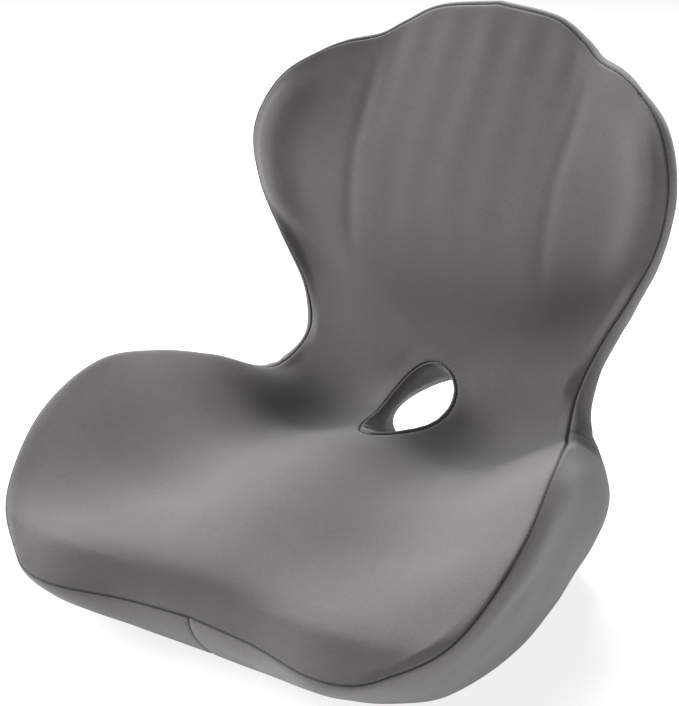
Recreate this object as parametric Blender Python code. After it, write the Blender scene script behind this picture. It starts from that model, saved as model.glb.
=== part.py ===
"""Seat cushion with a joined back: moulded foam in a sewn, zipped cover.

Metres, +Z up, the seat's front towards -Y, symmetric about X = 0.
The outside is three surfaces that meet along two closed seams: the face that
the body touches, the band round its edge, and the rear with the flat bottom.
Every panel of the cover is a region of that shell, thickened inwards.
"""
import math

import bmesh
import bpy
import numpy as np
from mathutils import Matrix, Vector

# Overall sizes
SEAT_WIDTH = 0.444          # between the side seams at the thighs
BACK_WIDTH = 0.398          # between the side seams at the shoulder blades
SEAT_DEPTH = 0.370          # from the front lobes to the face of the back
BACK_RISE = 0.266           # from the waist to the top seam
SEAT_RISE = 0.112           # floor to the ridge between the thighs

# Cover and foam
COVER = 0.0020              # fabric with its backing
CLEARANCE = 0.0003          # between touching pieces
SEAM_SHIFT = 0.00025        # each panel's edge stands this far back from its seam
BAND_BULGE = 1.0            # fullness of the band, 1 is the sewn shape

# Tailbone opening
OPENING_WIDTH = 0.050
OPENING_LENGTH = 0.110
OPENING_CENTRE_Y = 0.103
OPENING_CENTRE_Z = 0.116
OPENING_TILT = math.radians(11.0)
OPENING_SLOPE = math.radians(30.0)
OPENING_THROAT = 0.035      # depth from which the opening widens
OPENING_FLARE = 0.062       # growth of the half width from there to the full depth
OPENING_DEPTH = 0.150
OPENING_LIFT = 0.030        # how far the cut starts above the face
OPENING_SIDES = 28

# Waist, where the foam bends
WAIST_ROW = 8               # station of the waist
FLEX_FORWARD = math.radians(8.0)
FLEX_BACK = math.radians(15.0)
FLEX_SPARE = math.radians(1.0)
WAIST_FRONT_LIMIT_Y = 0.125  # in front of this plane everything is seat

# Zip
ZIP_LENGTH = 0.220
TAPE_WIDTH = 0.011
TAPE_THICK = 0.0008
TAPE_OVERRUN = 0.008
COIL_WIDTH = 0.0020
COIL_THICK = 0.0016
COIL_ROUND = 0.0004
STOP_LENGTH = 0.003
STOP_PROUD = 0.0004         # height of a stop above the coils
STOP_ROUND = 0.0003
SLIDER_LENGTH = 0.009
SLIDER_WALL = 0.0011
PIN_RADIUS = 0.0007
EYE_RADIUS = 0.0018
EYE_WIDTH = 0.0034
LUG_THICK = 0.0010
LUG_HALF_LENGTH = 0.0015
LUG_CROWN = 0.0013          # height of a lug above the pin's middle
NECK_REACH = 0.002          # the neck runs this far into the tab
TAB_GAP = 0.004             # from the eye to the tab
TAB_ROUND = 0.0005
FLUSH = 0.0002              # keeps joined solids' faces off one plane
WELD = 0.0005               # how far joined solids reach into each other
TAB_LENGTH = 0.024
TAB_WIDTH = 0.007
TAB_THICK = 0.0012

# Fineness of the shell
ACROSS = 18
ROWS_PER_STATION = 3
BAND_ROWS = 3
BOTTOM_LAST_ROW = 17        # the bottom fabric ends at this row
ZIP_ROW = 29                # the zip runs along this row of the rear

FACE, BAND, BOTTOM, REAR_BELOW_ZIP, REAR_ABOVE_ZIP = range(5)

# Stations along the middle of the L, front seam to top seam:
# centre y, centre z, seam x, seam y, seam z
FACE_STATIONS = (
    (-0.194, 0.046, 0.178, -0.198, 0.050),
    (-0.156, 0.068, 0.210, -0.161, 0.084),
    (-0.113, 0.097, 0.222, -0.106, 0.127),
    (-0.055, 0.112, 0.212, -0.046, 0.154),
    (0.005, 0.112, 0.193, 0.008, 0.150),
    (0.055, 0.106, 0.171, 0.060, 0.133),
    (0.108, 0.106, 0.147, 0.110, 0.112),
    (0.145, 0.124, 0.135, 0.150, 0.137),
    (0.158, 0.165, 0.147, 0.162, 0.176),
    (0.155, 0.215, 0.172, 0.159, 0.222),
    (0.157, 0.265, 0.193, 0.156, 0.268),
    (0.170, 0.313, 0.199, 0.157, 0.314),
    (0.195, 0.356, 0.185, 0.171, 0.354),
    (0.238, 0.431, 0.156, 0.191, 0.384),
)
REAR_STATIONS = (
    (-0.165, 0.000, 0.152, -0.152, 0.000),
    (-0.125, 0.000, 0.172, -0.120, 0.000),
    (-0.080, 0.000, 0.182, -0.078, 0.000),
    (-0.030, 0.000, 0.184, -0.030, 0.000),
    (0.020, 0.000, 0.179, 0.015, 0.000),
    (0.070, 0.000, 0.170, 0.065, 0.000),
    (0.125, 0.006, 0.150, 0.112, 0.006),
    (0.180, 0.045, 0.125, 0.160, 0.045),
    (0.208, 0.110, 0.114, 0.194, 0.110),
    (0.213, 0.175, 0.131, 0.212, 0.175),
    (0.213, 0.235, 0.155, 0.212, 0.236),
    (0.220, 0.290, 0.168, 0.211, 0.290),
    (0.236, 0.342, 0.160, 0.216, 0.338),
    (0.262, 0.414, 0.138, 0.228, 0.368),
)
# Fullness of the band at each station, from the straight line between its seams
BAND_STATIONS = (0.006, 0.007, 0.010, 0.014, 0.022, 0.032, 0.034, 0.016, 0.010, 0.010,
                 0.010, 0.010, 0.009, 0.006)
# Front and top edges, middle to corner: x, y, z
FRONT_EDGE = ((0.0, -0.194, 0.046), (0.060, -0.198, 0.044), (0.115, -0.211, 0.044),
              (0.150, -0.209, 0.046), (0.178, -0.198, 0.050))
TOP_EDGE = ((0.0, 0.238, 0.431), (0.055, 0.236, 0.424), (0.085, 0.229, 0.409),
            (0.105, 0.218, 0.397), (0.130, 0.205, 0.391), (0.156, 0.191, 0.384))
REAR_TOP_EDGE = ((0.0, 0.262, 0.414), (0.050, 0.258, 0.408), (0.078, 0.250, 0.396),
                 (0.095, 0.242, 0.385), (0.115, 0.236, 0.378), (0.138, 0.228, 0.368))

STATIONS = len(FACE_STATIONS) - 1
ALONG = STATIONS * ROWS_PER_STATION
FACE_CROWN = 2.2            # power of the curve from middle to seam
REAR_CROWN = 3.0
TROUGH_DEPTH = 0.020        # thigh troughs below the middle ridge
LOBE_ROLL = 0.010           # how far the front lobes swell
TOP_REACH = 6               # how quickly the top edge's lobes fade downwards
FRONT_REACH = 14


def blend_step(low, high, value):
    """Smooth 0 to 1 between low and high."""
    part = np.clip((value - low) / (high - low), 0.0, 1.0)
    return part * part * (3.0 - 2.0 * part)


def through(rows, place):
    """Smooth curve through rows at place 0 to 1."""
    rows = np.asarray(rows, dtype=float)
    if rows.ndim == 1:
        rows = rows[:, None]
    last = len(rows) - 1
    ends = np.vstack([2 * rows[0] - rows[1], rows, 2 * rows[-1] - rows[-2]])
    step = np.clip(np.asarray(place, dtype=float), 0.0, 1.0) * last
    index = np.minimum(step.astype(int), last - 1)
    part = (step - index)[..., None]
    before, start, stop, after = (ends[index + shift] for shift in range(4))
    return (start + 0.5 * part * (stop - before)
            + part ** 2 * (before - 2.5 * start + 2.0 * stop - 0.5 * after)
            + part ** 3 * (1.5 * (start - stop) + 0.5 * (after - before)))


def to_size(points):
    """Carry points drawn at the table's sizes to the driving sizes."""
    waist_z = FACE_STATIONS[WAIST_ROW][1]
    drawn_seat = 2 * max(row[2] for row in FACE_STATIONS[:WAIST_ROW])
    drawn_back = 2 * max(row[2] for row in FACE_STATIONS[WAIST_ROW:])
    drawn_rise = FACE_STATIONS[-1][1] - waist_z
    drawn_depth = FACE_STATIONS[WAIST_ROW][0] - min(point[1] for point in FRONT_EDGE)
    drawn_seat_rise = max(row[1] for row in FACE_STATIONS[:WAIST_ROW - 1])
    x, y, z = points[..., 0], points[..., 1], points[..., 2]
    height = blend_step(0.5 * waist_z, 1.5 * waist_z, z)
    wide = SEAT_WIDTH / drawn_seat * (1 - height) + BACK_WIDTH / drawn_back * height
    waist = waist_z * SEAT_RISE / drawn_seat_rise
    low = z * SEAT_RISE / drawn_seat_rise
    high = waist + (z - waist_z) * BACK_RISE / drawn_rise
    ahead = np.minimum(y, FACE_STATIONS[WAIST_ROW][0])
    return np.stack([x * wide, y + ahead * (SEAT_DEPTH / drawn_depth - 1.0),
                     np.where(z < waist_z, low, high)], axis=-1)


def edge_pull(points, rows, edge, across, crown, weight):
    """Draw one end row of a sheet onto its edge curve, fading along the sheet."""
    share = np.abs(across)
    target = through(edge, share)
    target[..., 0] *= np.sign(across)
    bend = share ** crown
    plain = np.stack([rows[2] * across, rows[0] + (rows[3] - rows[0]) * bend,
                      rows[1] + (rows[4] - rows[1]) * bend], axis=-1)
    return points + (target - plain) * weight[..., None]


def sheet(stations, crown, across, along):
    """Plain sheet: the middle line bent out to the seam on each side."""
    row = through(stations, along)
    bend = np.abs(across) ** crown
    return np.stack([row[..., 2] * across,
                     row[..., 0] + (row[..., 3] - row[..., 0]) * bend,
                     row[..., 1] + (row[..., 4] - row[..., 1]) * bend], axis=-1)


def face_surface(across, along):
    """The face: across -1 to 1 between the side seams, along 0 to 1 front to top."""
    points = sheet(FACE_STATIONS, FACE_CROWN, across, along)
    points = edge_pull(points, FACE_STATIONS[-1], TOP_EDGE, across, FACE_CROWN, along ** TOP_REACH)
    points = edge_pull(points, FACE_STATIONS[0], FRONT_EDGE, across, FACE_CROWN,
                       (1 - along) ** FRONT_REACH)
    station = along * STATIONS
    hollow = np.sin(math.pi * np.abs(across)) ** 2
    trough = TROUGH_DEPTH * blend_step(0.2, 2.5, station) * (1 - blend_step(5.0, 8.0, station))
    roll = blend_step(0.0, 0.6, station) * (1 - blend_step(0.8, 2.2, station))
    points[..., 1] -= 0.4 * LOBE_ROLL * roll * hollow
    points[..., 2] += (LOBE_ROLL * roll - trough) * hollow
    return to_size(points)


def rear_surface(across, along):
    """The rear and the flat bottom, with the same two directions as the face."""
    points = sheet(REAR_STATIONS, REAR_CROWN, across, along)
    points = edge_pull(points, REAR_STATIONS[-1], REAR_TOP_EDGE, across, REAR_CROWN,
                       along ** TOP_REACH)
    points[..., 2] = np.maximum(points[..., 2], 0.0)
    return to_size(points)


def rim_place(steps):
    """Across and along at a step round the rim, from the front middle towards +X."""
    side, top = ACROSS // 2, ACROSS // 2 + ALONG
    places = []
    for step in steps:
        if step <= side:
            places.append((step / side, 0.0))
        elif step <= top:
            places.append((1.0, (step - side) / ALONG))
        elif step <= top + ACROSS:
            places.append((1.0 - 2.0 * (step - top) / ACROSS, 1.0))
        elif step <= top + ACROSS + ALONG:
            places.append((-1.0, 1.0 - (step - top - ACROSS) / ALONG))
        else:
            places.append((-1.0 + (step - top - ACROSS - ALONG) / side, 0.0))
    return np.array(places)


def band_surface(steps, drop):
    """The band: steps round the rim, drop 0 at the face seam to 1 at the rear seam."""
    def rim(surface, shift):
        turn = 2 * (ACROSS + ALONG)
        place = rim_place((steps + shift) % turn)
        return surface(place[:, 0], place[:, 1])

    seam, foot = rim(face_surface, 0), rim(rear_surface, 0)
    run = rim(face_surface, 1) - rim(face_surface, -1)
    outward = np.cross(foot - seam, run)
    outward /= np.linalg.norm(outward, axis=1)[:, None]
    full = through(BAND_STATIONS, rim_place(steps % (2 * (ACROSS + ALONG)))[:, 1])
    swell = np.sin(math.pi * drop ** 0.75)[:, None] * BAND_BULGE
    return seam + (foot - seam) * drop[:, None] + outward * full * swell


def lay_grid(shell, columns, rows, region_of_row, surface):
    """Add a grid to the shell, mark its regions and lay it on a surface."""
    made = bmesh.ops.create_grid(shell, x_segments=columns, y_segments=rows, size=1.0)["verts"]
    for face in {face for vert in made for face in vert.link_faces}:
        row = int((face.calc_center_median().y + 1) / 2 * rows)
        face.material_index = region_of_row(row)
    flat = np.array([vert.co[:2] for vert in made])
    for vert, point in zip(made, surface(flat)):
        vert.co = Vector(point)


def build_shell():
    """Closed outer surface, each face marked with its region."""
    shell = bmesh.new()

    def on_face(flat):
        return face_surface(flat[:, 0], (flat[:, 1] + 1) / 2)

    def on_rear(flat):
        return rear_surface(flat[:, 0], (flat[:, 1] + 1) / 2)

    def on_band(flat):
        steps = np.round((flat[:, 0] + 1) * (ACROSS + ALONG))
        return band_surface(steps, (flat[:, 1] + 1) / 2)

    def rear_region(row):
        if row < BOTTOM_LAST_ROW:
            return BOTTOM
        return REAR_BELOW_ZIP if row < ZIP_ROW else REAR_ABOVE_ZIP

    lay_grid(shell, ACROSS, ALONG, lambda row: FACE, on_face)
    lay_grid(shell, ACROSS, ALONG, rear_region, on_rear)
    lay_grid(shell, 2 * (ACROSS + ALONG), BAND_ROWS, lambda row: BAND, on_band)
    bmesh.ops.remove_doubles(shell, verts=shell.verts, dist=0.00002)
    bmesh.ops.recalc_face_normals(shell, faces=shell.faces)
    bmesh.ops.triangulate(shell, faces=shell.faces[:])
    shell.normal_update()
    inward = shell.verts.layers.float_vector.new("inward")
    for vert in shell.verts:
        vert[inward] = -vert.normal * min(vert.calc_shell_factor(), 1.5)
    return shell


def material(name, colour, roughness, metallic=0.0):
    made = bpy.data.materials.new(name)
    made.use_nodes = True
    shader = made.node_tree.nodes["Principled BSDF"]
    shader.inputs["Base Color"].default_value = (*colour, 1.0)
    shader.inputs["Roughness"].default_value = roughness
    shader.inputs["Metallic"].default_value = metallic
    return made


def add_object(name, bm, finish, parent=None, smooth=True):
    """Make a named object from a bmesh, with its origin on its parent's place."""
    origin = parent.matrix_world.translation if parent else Vector()
    bmesh.ops.translate(bm, verts=bm.verts, vec=-origin)
    mesh = bpy.data.meshes.new(name)
    bm.to_mesh(mesh)
    bm.free()
    mesh.materials.clear()
    if finish:
        mesh.materials.append(finish)
    for polygon in mesh.polygons:
        polygon.material_index = 0
    if smooth:
        mesh.shade_smooth()
        mesh.set_sharp_from_angle(angle=math.radians(40))
    made = bpy.data.objects.new(name, mesh)
    bpy.context.scene.collection.objects.link(made)
    if parent:
        made.parent = parent
    return made


def add_empty(name, place, parent=None):
    made = bpy.data.objects.new(name, None)
    bpy.context.scene.collection.objects.link(made)
    made.location = place
    if parent:
        made.parent = parent
        made.location = Vector(place) - parent.matrix_world.translation
    bpy.context.view_layer.update()
    return made


def add_guide(name, bm, parent):
    """A cutter: seen as wire, never part of the cushion."""
    made = add_object(name, bm, None, parent, smooth=False)
    made.hide_render = True
    made.display_type = "WIRE"
    return made


def cut(target, cutter, operation="DIFFERENCE"):
    step = target.modifiers.new(cutter.name, "BOOLEAN")
    step.operation = operation
    step.object = cutter
    step.solver = "EXACT"


def panel_mesh(shell, keep):
    """A region of the shell as a solid panel, its edges drawn back from the seams."""
    panel = shell.copy()
    drop = [face for face in panel.faces if not keep(face)]
    bmesh.ops.delete(panel, geom=drop, context="FACES")
    inward = panel.verts.layers.float_vector["inward"]
    shifts = {}
    for vert in panel.verts:
        if not vert.is_boundary:
            continue
        middle = sum((face.calc_center_median() for face in vert.link_faces), Vector())
        pull = middle / len(vert.link_faces) - vert.co
        ends = [edge.other_vert(vert).co for edge in vert.link_edges if edge.is_boundary]
        if len(vert.link_faces) > 1:
            run = (ends[0] - ends[-1]).normalized()
            pull -= run * pull.dot(run)
        shifts[vert] = pull.normalized() * SEAM_SHIFT
    for vert, shift in shifts.items():
        vert.co += shift
    grown = bmesh.ops.extrude_face_region(panel, geom=panel.faces[:])["geom"]
    for item in grown:
        if isinstance(item, bmesh.types.BMVert):
            item.co += item[inward] * COVER
    bmesh.ops.recalc_face_normals(panel, faces=panel.faces)
    return panel


def core_mesh(shell):
    """The foam: the shell drawn in by the cover and its clearance."""
    core = shell.copy()
    inward = core.verts.layers.float_vector["inward"]
    for vert in core.verts:
        vert.co += vert[inward] * (COVER + CLEARANCE)
    return core


def prism(outline, half_width):
    """Extrude an outline of (y, z) points along X, both ways from the middle."""
    made = bmesh.new()
    verts = [made.verts.new((-half_width, y, z)) for y, z in outline]
    made.faces.new(verts)
    grown = bmesh.ops.extrude_face_region(made, geom=made.faces[:])["geom"]
    moved = [item for item in grown if isinstance(item, bmesh.types.BMVert)]
    bmesh.ops.translate(made, verts=moved, vec=(2 * half_width, 0, 0))
    bmesh.ops.recalc_face_normals(made, faces=made.faces)
    return made


def opening_tube(shrink, closed):
    """Loft of ovals down the tailbone opening, flaring towards the rear."""
    axis = Vector((0, math.cos(OPENING_SLOPE), -math.sin(OPENING_SLOPE)))
    length_way = Vector((0, math.cos(OPENING_TILT), math.sin(OPENING_TILT)))
    centre = Vector((0, OPENING_CENTRE_Y, OPENING_CENTRE_Z))
    made = bmesh.new()
    ring = bmesh.ops.create_circle(made, segments=OPENING_SIDES, radius=1.0)["verts"]
    ring_edges = made.edges[:]
    angles = [math.atan2(vert.co.y, vert.co.x) for vert in ring]
    middle = (OPENING_THROAT + OPENING_DEPTH) / 2
    stops = (-OPENING_LIFT, 0.0, OPENING_THROAT, middle, OPENING_DEPTH)
    rings = []
    for number, stop in enumerate(stops):
        if number:
            grown = bmesh.ops.extrude_edge_only(made, edges=ring_edges)["geom"]
            ring_edges = [item for item in grown if isinstance(item, bmesh.types.BMEdge)]
            ring = [item for item in grown if isinstance(item, bmesh.types.BMVert)]
        rings.append(ring)
        share = max(stop - OPENING_THROAT, 0.0) / (OPENING_DEPTH - OPENING_THROAT)
        half_x = OPENING_WIDTH / 2 + OPENING_FLARE * share - shrink
        half_y = OPENING_LENGTH / 2 - shrink
        for vert, angle in zip(ring, angles):
            vert.co = (centre + axis * stop + Vector((half_x * math.cos(angle), 0, 0))
                       + length_way * half_y * math.sin(angle))
    bmesh.ops.triangulate(made, faces=made.faces[:], quad_method="FIXED")
    if closed:
        bmesh.ops.holes_fill(made, edges=made.edges[:], sides=OPENING_SIDES)
    bmesh.ops.recalc_face_normals(made, faces=made.faces)
    return made


def box_mesh(low, high, round_by=0.0):
    """Box between two corners, its edges bevelled."""
    made = bmesh.new()
    bmesh.ops.create_cube(made, size=1.0)
    for vert in made.verts:
        vert.co = Vector([low[k] if vert.co[k] < 0 else high[k] for k in range(3)])
    if round_by:
        bmesh.ops.bevel(made, geom=made.edges[:], offset=round_by, affect="EDGES",
                        segments=1, profile=0.5, material=-1)
    return made


def rod_mesh(radius, low_z, high_z, centre, sides=16, bore=0.0):
    """Upright rod or ring about a line along Z."""
    made = bmesh.new()
    bmesh.ops.create_circle(made, segments=sides, radius=radius, cap_ends=not bore)
    if bore:
        outer = made.edges[:]
        bmesh.ops.create_circle(made, segments=sides, radius=bore)
        inner = [edge for edge in made.edges if edge not in outer]
        bmesh.ops.bridge_loops(made, edges=outer + inner)
    bmesh.ops.translate(made, verts=made.verts, vec=(centre[0], centre[1], low_z))
    grown = bmesh.ops.extrude_face_region(made, geom=made.faces[:])["geom"]
    moved = [item for item in grown if isinstance(item, bmesh.types.BMVert)]
    bmesh.ops.translate(made, verts=moved, vec=(0, 0, high_z - low_z))
    bmesh.ops.recalc_face_normals(made, faces=made.faces)
    return made


def hinge_place():
    """Middle of the waist, where the back bends on the seat."""
    row = np.array([WAIST_ROW / STATIONS])
    front = face_surface(np.array([0.0]), row)[0]
    level = front[2]
    rows = np.linspace(0.5, 0.8, 301)
    rear = rear_surface(np.zeros_like(rows), rows)
    back = rear[np.argmin(np.abs(rear[:, 2] - level))]
    return Vector((0, (front[1] + back[1]) / 2, level))


def waist_guides(hinge, seat):
    """Cutters that part the seat from the back, with a wedge left for the bend."""
    reach = 1.0
    fore = hinge.y - WAIST_FRONT_LIMIT_Y
    gap = CLEARANCE / 2
    fore_wedge = math.tan(FLEX_FORWARD + FLEX_SPARE)
    rear_wedge = math.tan(FLEX_BACK + FLEX_SPARE)
    above = [(hinge.y - fore, hinge.z - gap), (reach, hinge.z - gap), (reach, reach),
             (hinge.y - fore, reach)]
    below = [(-reach, -reach), (reach, -reach),
             (reach, hinge.z + gap + (reach - hinge.y) * rear_wedge),
             (hinge.y, hinge.z + gap), (hinge.y - fore, hinge.z + gap + fore * fore_wedge),
             (hinge.y - fore, reach), (-reach, reach)]
    return (add_guide("above_waist_guide", prism(above, reach), seat),
            add_guide("below_waist_guide", prism(below, reach), seat))


def add_cover(shell, seat, back, guides, finishes):
    """All the sewn panels, cut at the waist, at the opening and at the zip."""
    above, below, opening, zip_slot = guides
    face_cloth, band_cloth, grip_cloth = finishes

    def region(number):
        return lambda face: face.material_index == number

    def band_on(side):
        return lambda face: (face.material_index == BAND
                             and face.calc_center_median().x * side > 0)

    seat_face = add_object("seat_face_panel", panel_mesh(shell, region(FACE)), face_cloth, seat)
    cut(seat_face, above)
    cut(seat_face, opening)
    back_face = add_object("back_face_panel", panel_mesh(shell, region(FACE)), face_cloth, back)
    cut(back_face, below)
    for side, name in ((1, "seat_band_right"), (-1, "seat_band_left")):
        band = add_object(name, panel_mesh(shell, band_on(side)), band_cloth, seat)
        cut(band, above)
    band = add_object("back_band", panel_mesh(shell, region(BAND)), band_cloth, back)
    cut(band, below)
    add_object("bottom_grip_panel", panel_mesh(shell, region(BOTTOM)), grip_cloth, seat)
    below_zip = region(REAR_BELOW_ZIP)
    low = add_object("seat_rear_panel", panel_mesh(shell, below_zip), band_cloth, seat)
    cut(low, above)
    cut(low, opening)
    waist = add_object("back_rear_lower_panel", panel_mesh(shell, below_zip), band_cloth, back)
    cut(waist, below)
    cut(waist, zip_slot)
    above_zip = region(REAR_ABOVE_ZIP)
    high = add_object("back_rear_upper_panel", panel_mesh(shell, above_zip), band_cloth, back)
    cut(high, zip_slot)


def zip_place():
    """Middle of the zip on the rear of the back."""
    point = rear_surface(np.array([0.0]), np.array([ZIP_ROW / ALONG]))[0]
    return Vector(point)


def zip_half_height():
    return TAPE_WIDTH + COIL_WIDTH + 1.5 * CLEARANCE


def add_zip(back, place, finishes):
    """Two tapes with their coils, stops, and the slider with its pull."""
    tape_cloth, coil_nylon, metal = finishes
    half = ZIP_LENGTH / 2
    tape_back = place.y - COVER + CLEARANCE
    tape_front = tape_back + TAPE_THICK
    coil_front = tape_front + CLEARANCE + COIL_THICK
    for side, name in ((1, "upper"), (-1, "lower")):
        near = CLEARANCE / 2
        coil_z = sorted((place.z + side * near, place.z + side * (near + COIL_WIDTH)))
        far = near + COIL_WIDTH + CLEARANCE
        tape_z = sorted((place.z + side * far, place.z + side * (far + TAPE_WIDTH)))
        reach = half + TAPE_OVERRUN
        add_object("zip_tape_" + name,
                   box_mesh((-reach, tape_back, tape_z[0]), (reach, tape_front, tape_z[1])),
                   tape_cloth, back, smooth=False)
        inner = half - STOP_LENGTH - CLEARANCE
        add_object("zip_coil_" + name,
                   box_mesh((-inner, tape_back, coil_z[0]), (inner, coil_front, coil_z[1]),
                            COIL_ROUND),
                   coil_nylon, back)
    stop_half = COIL_WIDTH + CLEARANCE / 2
    for side, name in ((1, "right"), (-1, "left")):
        ends = sorted((side * (half - STOP_LENGTH), side * half))
        add_object("zip_stop_" + name,
                   box_mesh((ends[0], tape_back, place.z - stop_half),
                            (ends[1], coil_front + STOP_PROUD, place.z + stop_half), STOP_ROUND),
                   metal, back)
    start = half - STOP_LENGTH - CLEARANCE - SLIDER_LENGTH / 2
    add_slider(back, Vector((start, coil_front, place.z)), tape_front, metal)


def add_slider(back, top, tape_front, metal):
    """Slider saddled over the coils, with lugs and a pin that carry the pull."""
    slide = add_empty("zip_slide_axis", top, back)
    inner_half = 1.5 * CLEARANCE + COIL_WIDTH
    outer_half = inner_half + SLIDER_WALL
    under = top.y + CLEARANCE
    crown = under + SLIDER_WALL
    skirt = tape_front + CLEARANCE
    section = [(skirt, -outer_half), (crown, -outer_half), (crown, outer_half),
               (skirt, outer_half), (skirt, inner_half), (under, inner_half),
               (under, -inner_half), (skirt, -inner_half)]
    body = prism([(y, top.z + z) for y, z in section], SLIDER_LENGTH / 2)
    bmesh.ops.translate(body, verts=body.verts, vec=(top.x, 0, 0))
    slider = add_object("zip_slider", body, metal, slide)
    pin_y = crown + EYE_RADIUS + CLEARANCE
    lug_near = EYE_WIDTH / 2 + CLEARANCE
    lug_far = lug_near + LUG_THICK
    for side in (1, -1):
        span = sorted((top.z + side * lug_near, top.z + side * lug_far))
        lug = box_mesh((top.x - LUG_HALF_LENGTH, crown - WELD, span[0]),
                       (top.x + LUG_HALF_LENGTH, pin_y + LUG_CROWN, span[1]))
        cut(slider, add_guide("lug_guide", lug, slide), "UNION")
    rod = rod_mesh(PIN_RADIUS, top.z - lug_far + FLUSH, top.z + lug_far - FLUSH,
                   (top.x, pin_y), 12)
    cut(slider, add_guide("pin_guide", rod, slide), "UNION")
    swing = add_empty("zip_pull_axis", (top.x, pin_y, top.z), slide)
    eye = rod_mesh(EYE_RADIUS, top.z - EYE_WIDTH / 2, top.z + EYE_WIDTH / 2,
                   (top.x, pin_y), 20, PIN_RADIUS + CLEARANCE)
    pull = add_object("zip_pull", eye, metal, swing)
    root = top.x - EYE_RADIUS + CLEARANCE
    neck_half = TAB_THICK / 2
    tab_half = neck_half + FLUSH / 2
    neck_high = EYE_WIDTH / 2 - FLUSH
    neck = box_mesh((root - TAB_GAP - NECK_REACH, pin_y - neck_half, top.z - neck_high),
                    (root, pin_y + neck_half, top.z + neck_high))
    tab = box_mesh((root - TAB_LENGTH, pin_y - tab_half, top.z - TAB_WIDTH / 2),
                   (root - TAB_GAP, pin_y + tab_half, top.z + TAB_WIDTH / 2), TAB_ROUND)
    cut(pull, add_guide("pull_neck_guide", neck, swing), "UNION")
    cut(pull, add_guide("pull_tab_guide", tab, swing), "UNION")


def main():
    for item in list(bpy.data.objects):
        bpy.data.objects.remove(item, do_unlink=True)
    face_cloth = material("face_velvet", (0.130, 0.122, 0.113), 0.85)
    band_cloth = material("band_knit", (0.190, 0.182, 0.172), 0.90)
    grip_cloth = material("grip_fabric", (0.060, 0.058, 0.056), 0.95)
    foam = material("memory_foam", (0.780, 0.740, 0.600), 0.95)
    tape_cloth = material("zip_tape_weave", (0.110, 0.105, 0.100), 0.90)
    coil_nylon = material("zip_coil_nylon", (0.080, 0.078, 0.075), 0.45)
    metal = material("zip_metal", (0.350, 0.350, 0.350), 0.35, 1.0)

    shell = build_shell()
    depth = [vert.co.y for vert in shell.verts]
    seat = add_empty("seat_frame", (0, 0, 0))
    hinge = hinge_place()
    back = add_empty("back_flex_axis", hinge, seat)

    above, below = waist_guides(hinge, seat)
    opening = add_guide("opening_guide", opening_tube(0.0, True), seat)
    envelope = add_guide("envelope_guide", shell.copy(), seat)
    place = zip_place()
    half_long = ZIP_LENGTH / 2 + TAPE_OVERRUN + CLEARANCE
    half_high = zip_half_height() + CLEARANCE
    slot = box_mesh((-half_long, place.y - 0.010, place.z - half_high),
                    (half_long, place.y + 0.010, place.z + half_high))
    zip_slot = add_guide("zip_slot_guide", slot, seat)

    core = add_object("seat_foam_core", core_mesh(shell), foam, seat)
    cut(core, above)
    cut(core, opening)
    core = add_object("back_foam_core", core_mesh(shell), foam, back)
    cut(core, below)
    add_cover(shell, seat, back, (above, below, opening, zip_slot),
              (face_cloth, band_cloth, grip_cloth))
    sleeve = add_object("opening_sleeve", opening_tube(CLEARANCE, False), face_cloth, seat)
    wall = sleeve.modifiers.new("wall", "SOLIDIFY")
    wall.thickness = COVER
    wall.offset = -1.0
    cut(sleeve, envelope, "INTERSECT")
    add_zip(back, place, (tape_cloth, coil_nylon, metal))
    shell.free()
    seat.location = (0, -(min(depth) + max(depth)) / 2, 0)
    bpy.context.view_layer.update()


main()
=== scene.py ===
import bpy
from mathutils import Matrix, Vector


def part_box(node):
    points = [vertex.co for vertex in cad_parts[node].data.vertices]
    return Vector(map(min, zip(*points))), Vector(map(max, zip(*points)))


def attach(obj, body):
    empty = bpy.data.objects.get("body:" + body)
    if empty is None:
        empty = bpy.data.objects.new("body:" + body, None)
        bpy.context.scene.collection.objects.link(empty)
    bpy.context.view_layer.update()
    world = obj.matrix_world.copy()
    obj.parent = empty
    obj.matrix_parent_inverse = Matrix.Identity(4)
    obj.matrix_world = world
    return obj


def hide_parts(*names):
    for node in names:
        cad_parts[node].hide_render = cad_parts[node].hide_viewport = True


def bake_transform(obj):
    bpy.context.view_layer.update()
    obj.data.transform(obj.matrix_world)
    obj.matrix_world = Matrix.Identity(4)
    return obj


bl_info = {
    "name": "Seat cushion with back",
    "version": (1, 0, 0),
    "blender": (4, 5, 0),
    "location": "3D View > Sidebar > Cushion",
    "description": "Sewn, zipped cover over moulded foam, built piece by piece on the packed frame",
    "category": "Object",
}

import math

import bmesh
import bpy
import numpy as np
from bpy.props import FloatProperty, FloatVectorProperty, PointerProperty
from mathutils import Vector
from mathutils.bvhtree import BVHTree

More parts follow.
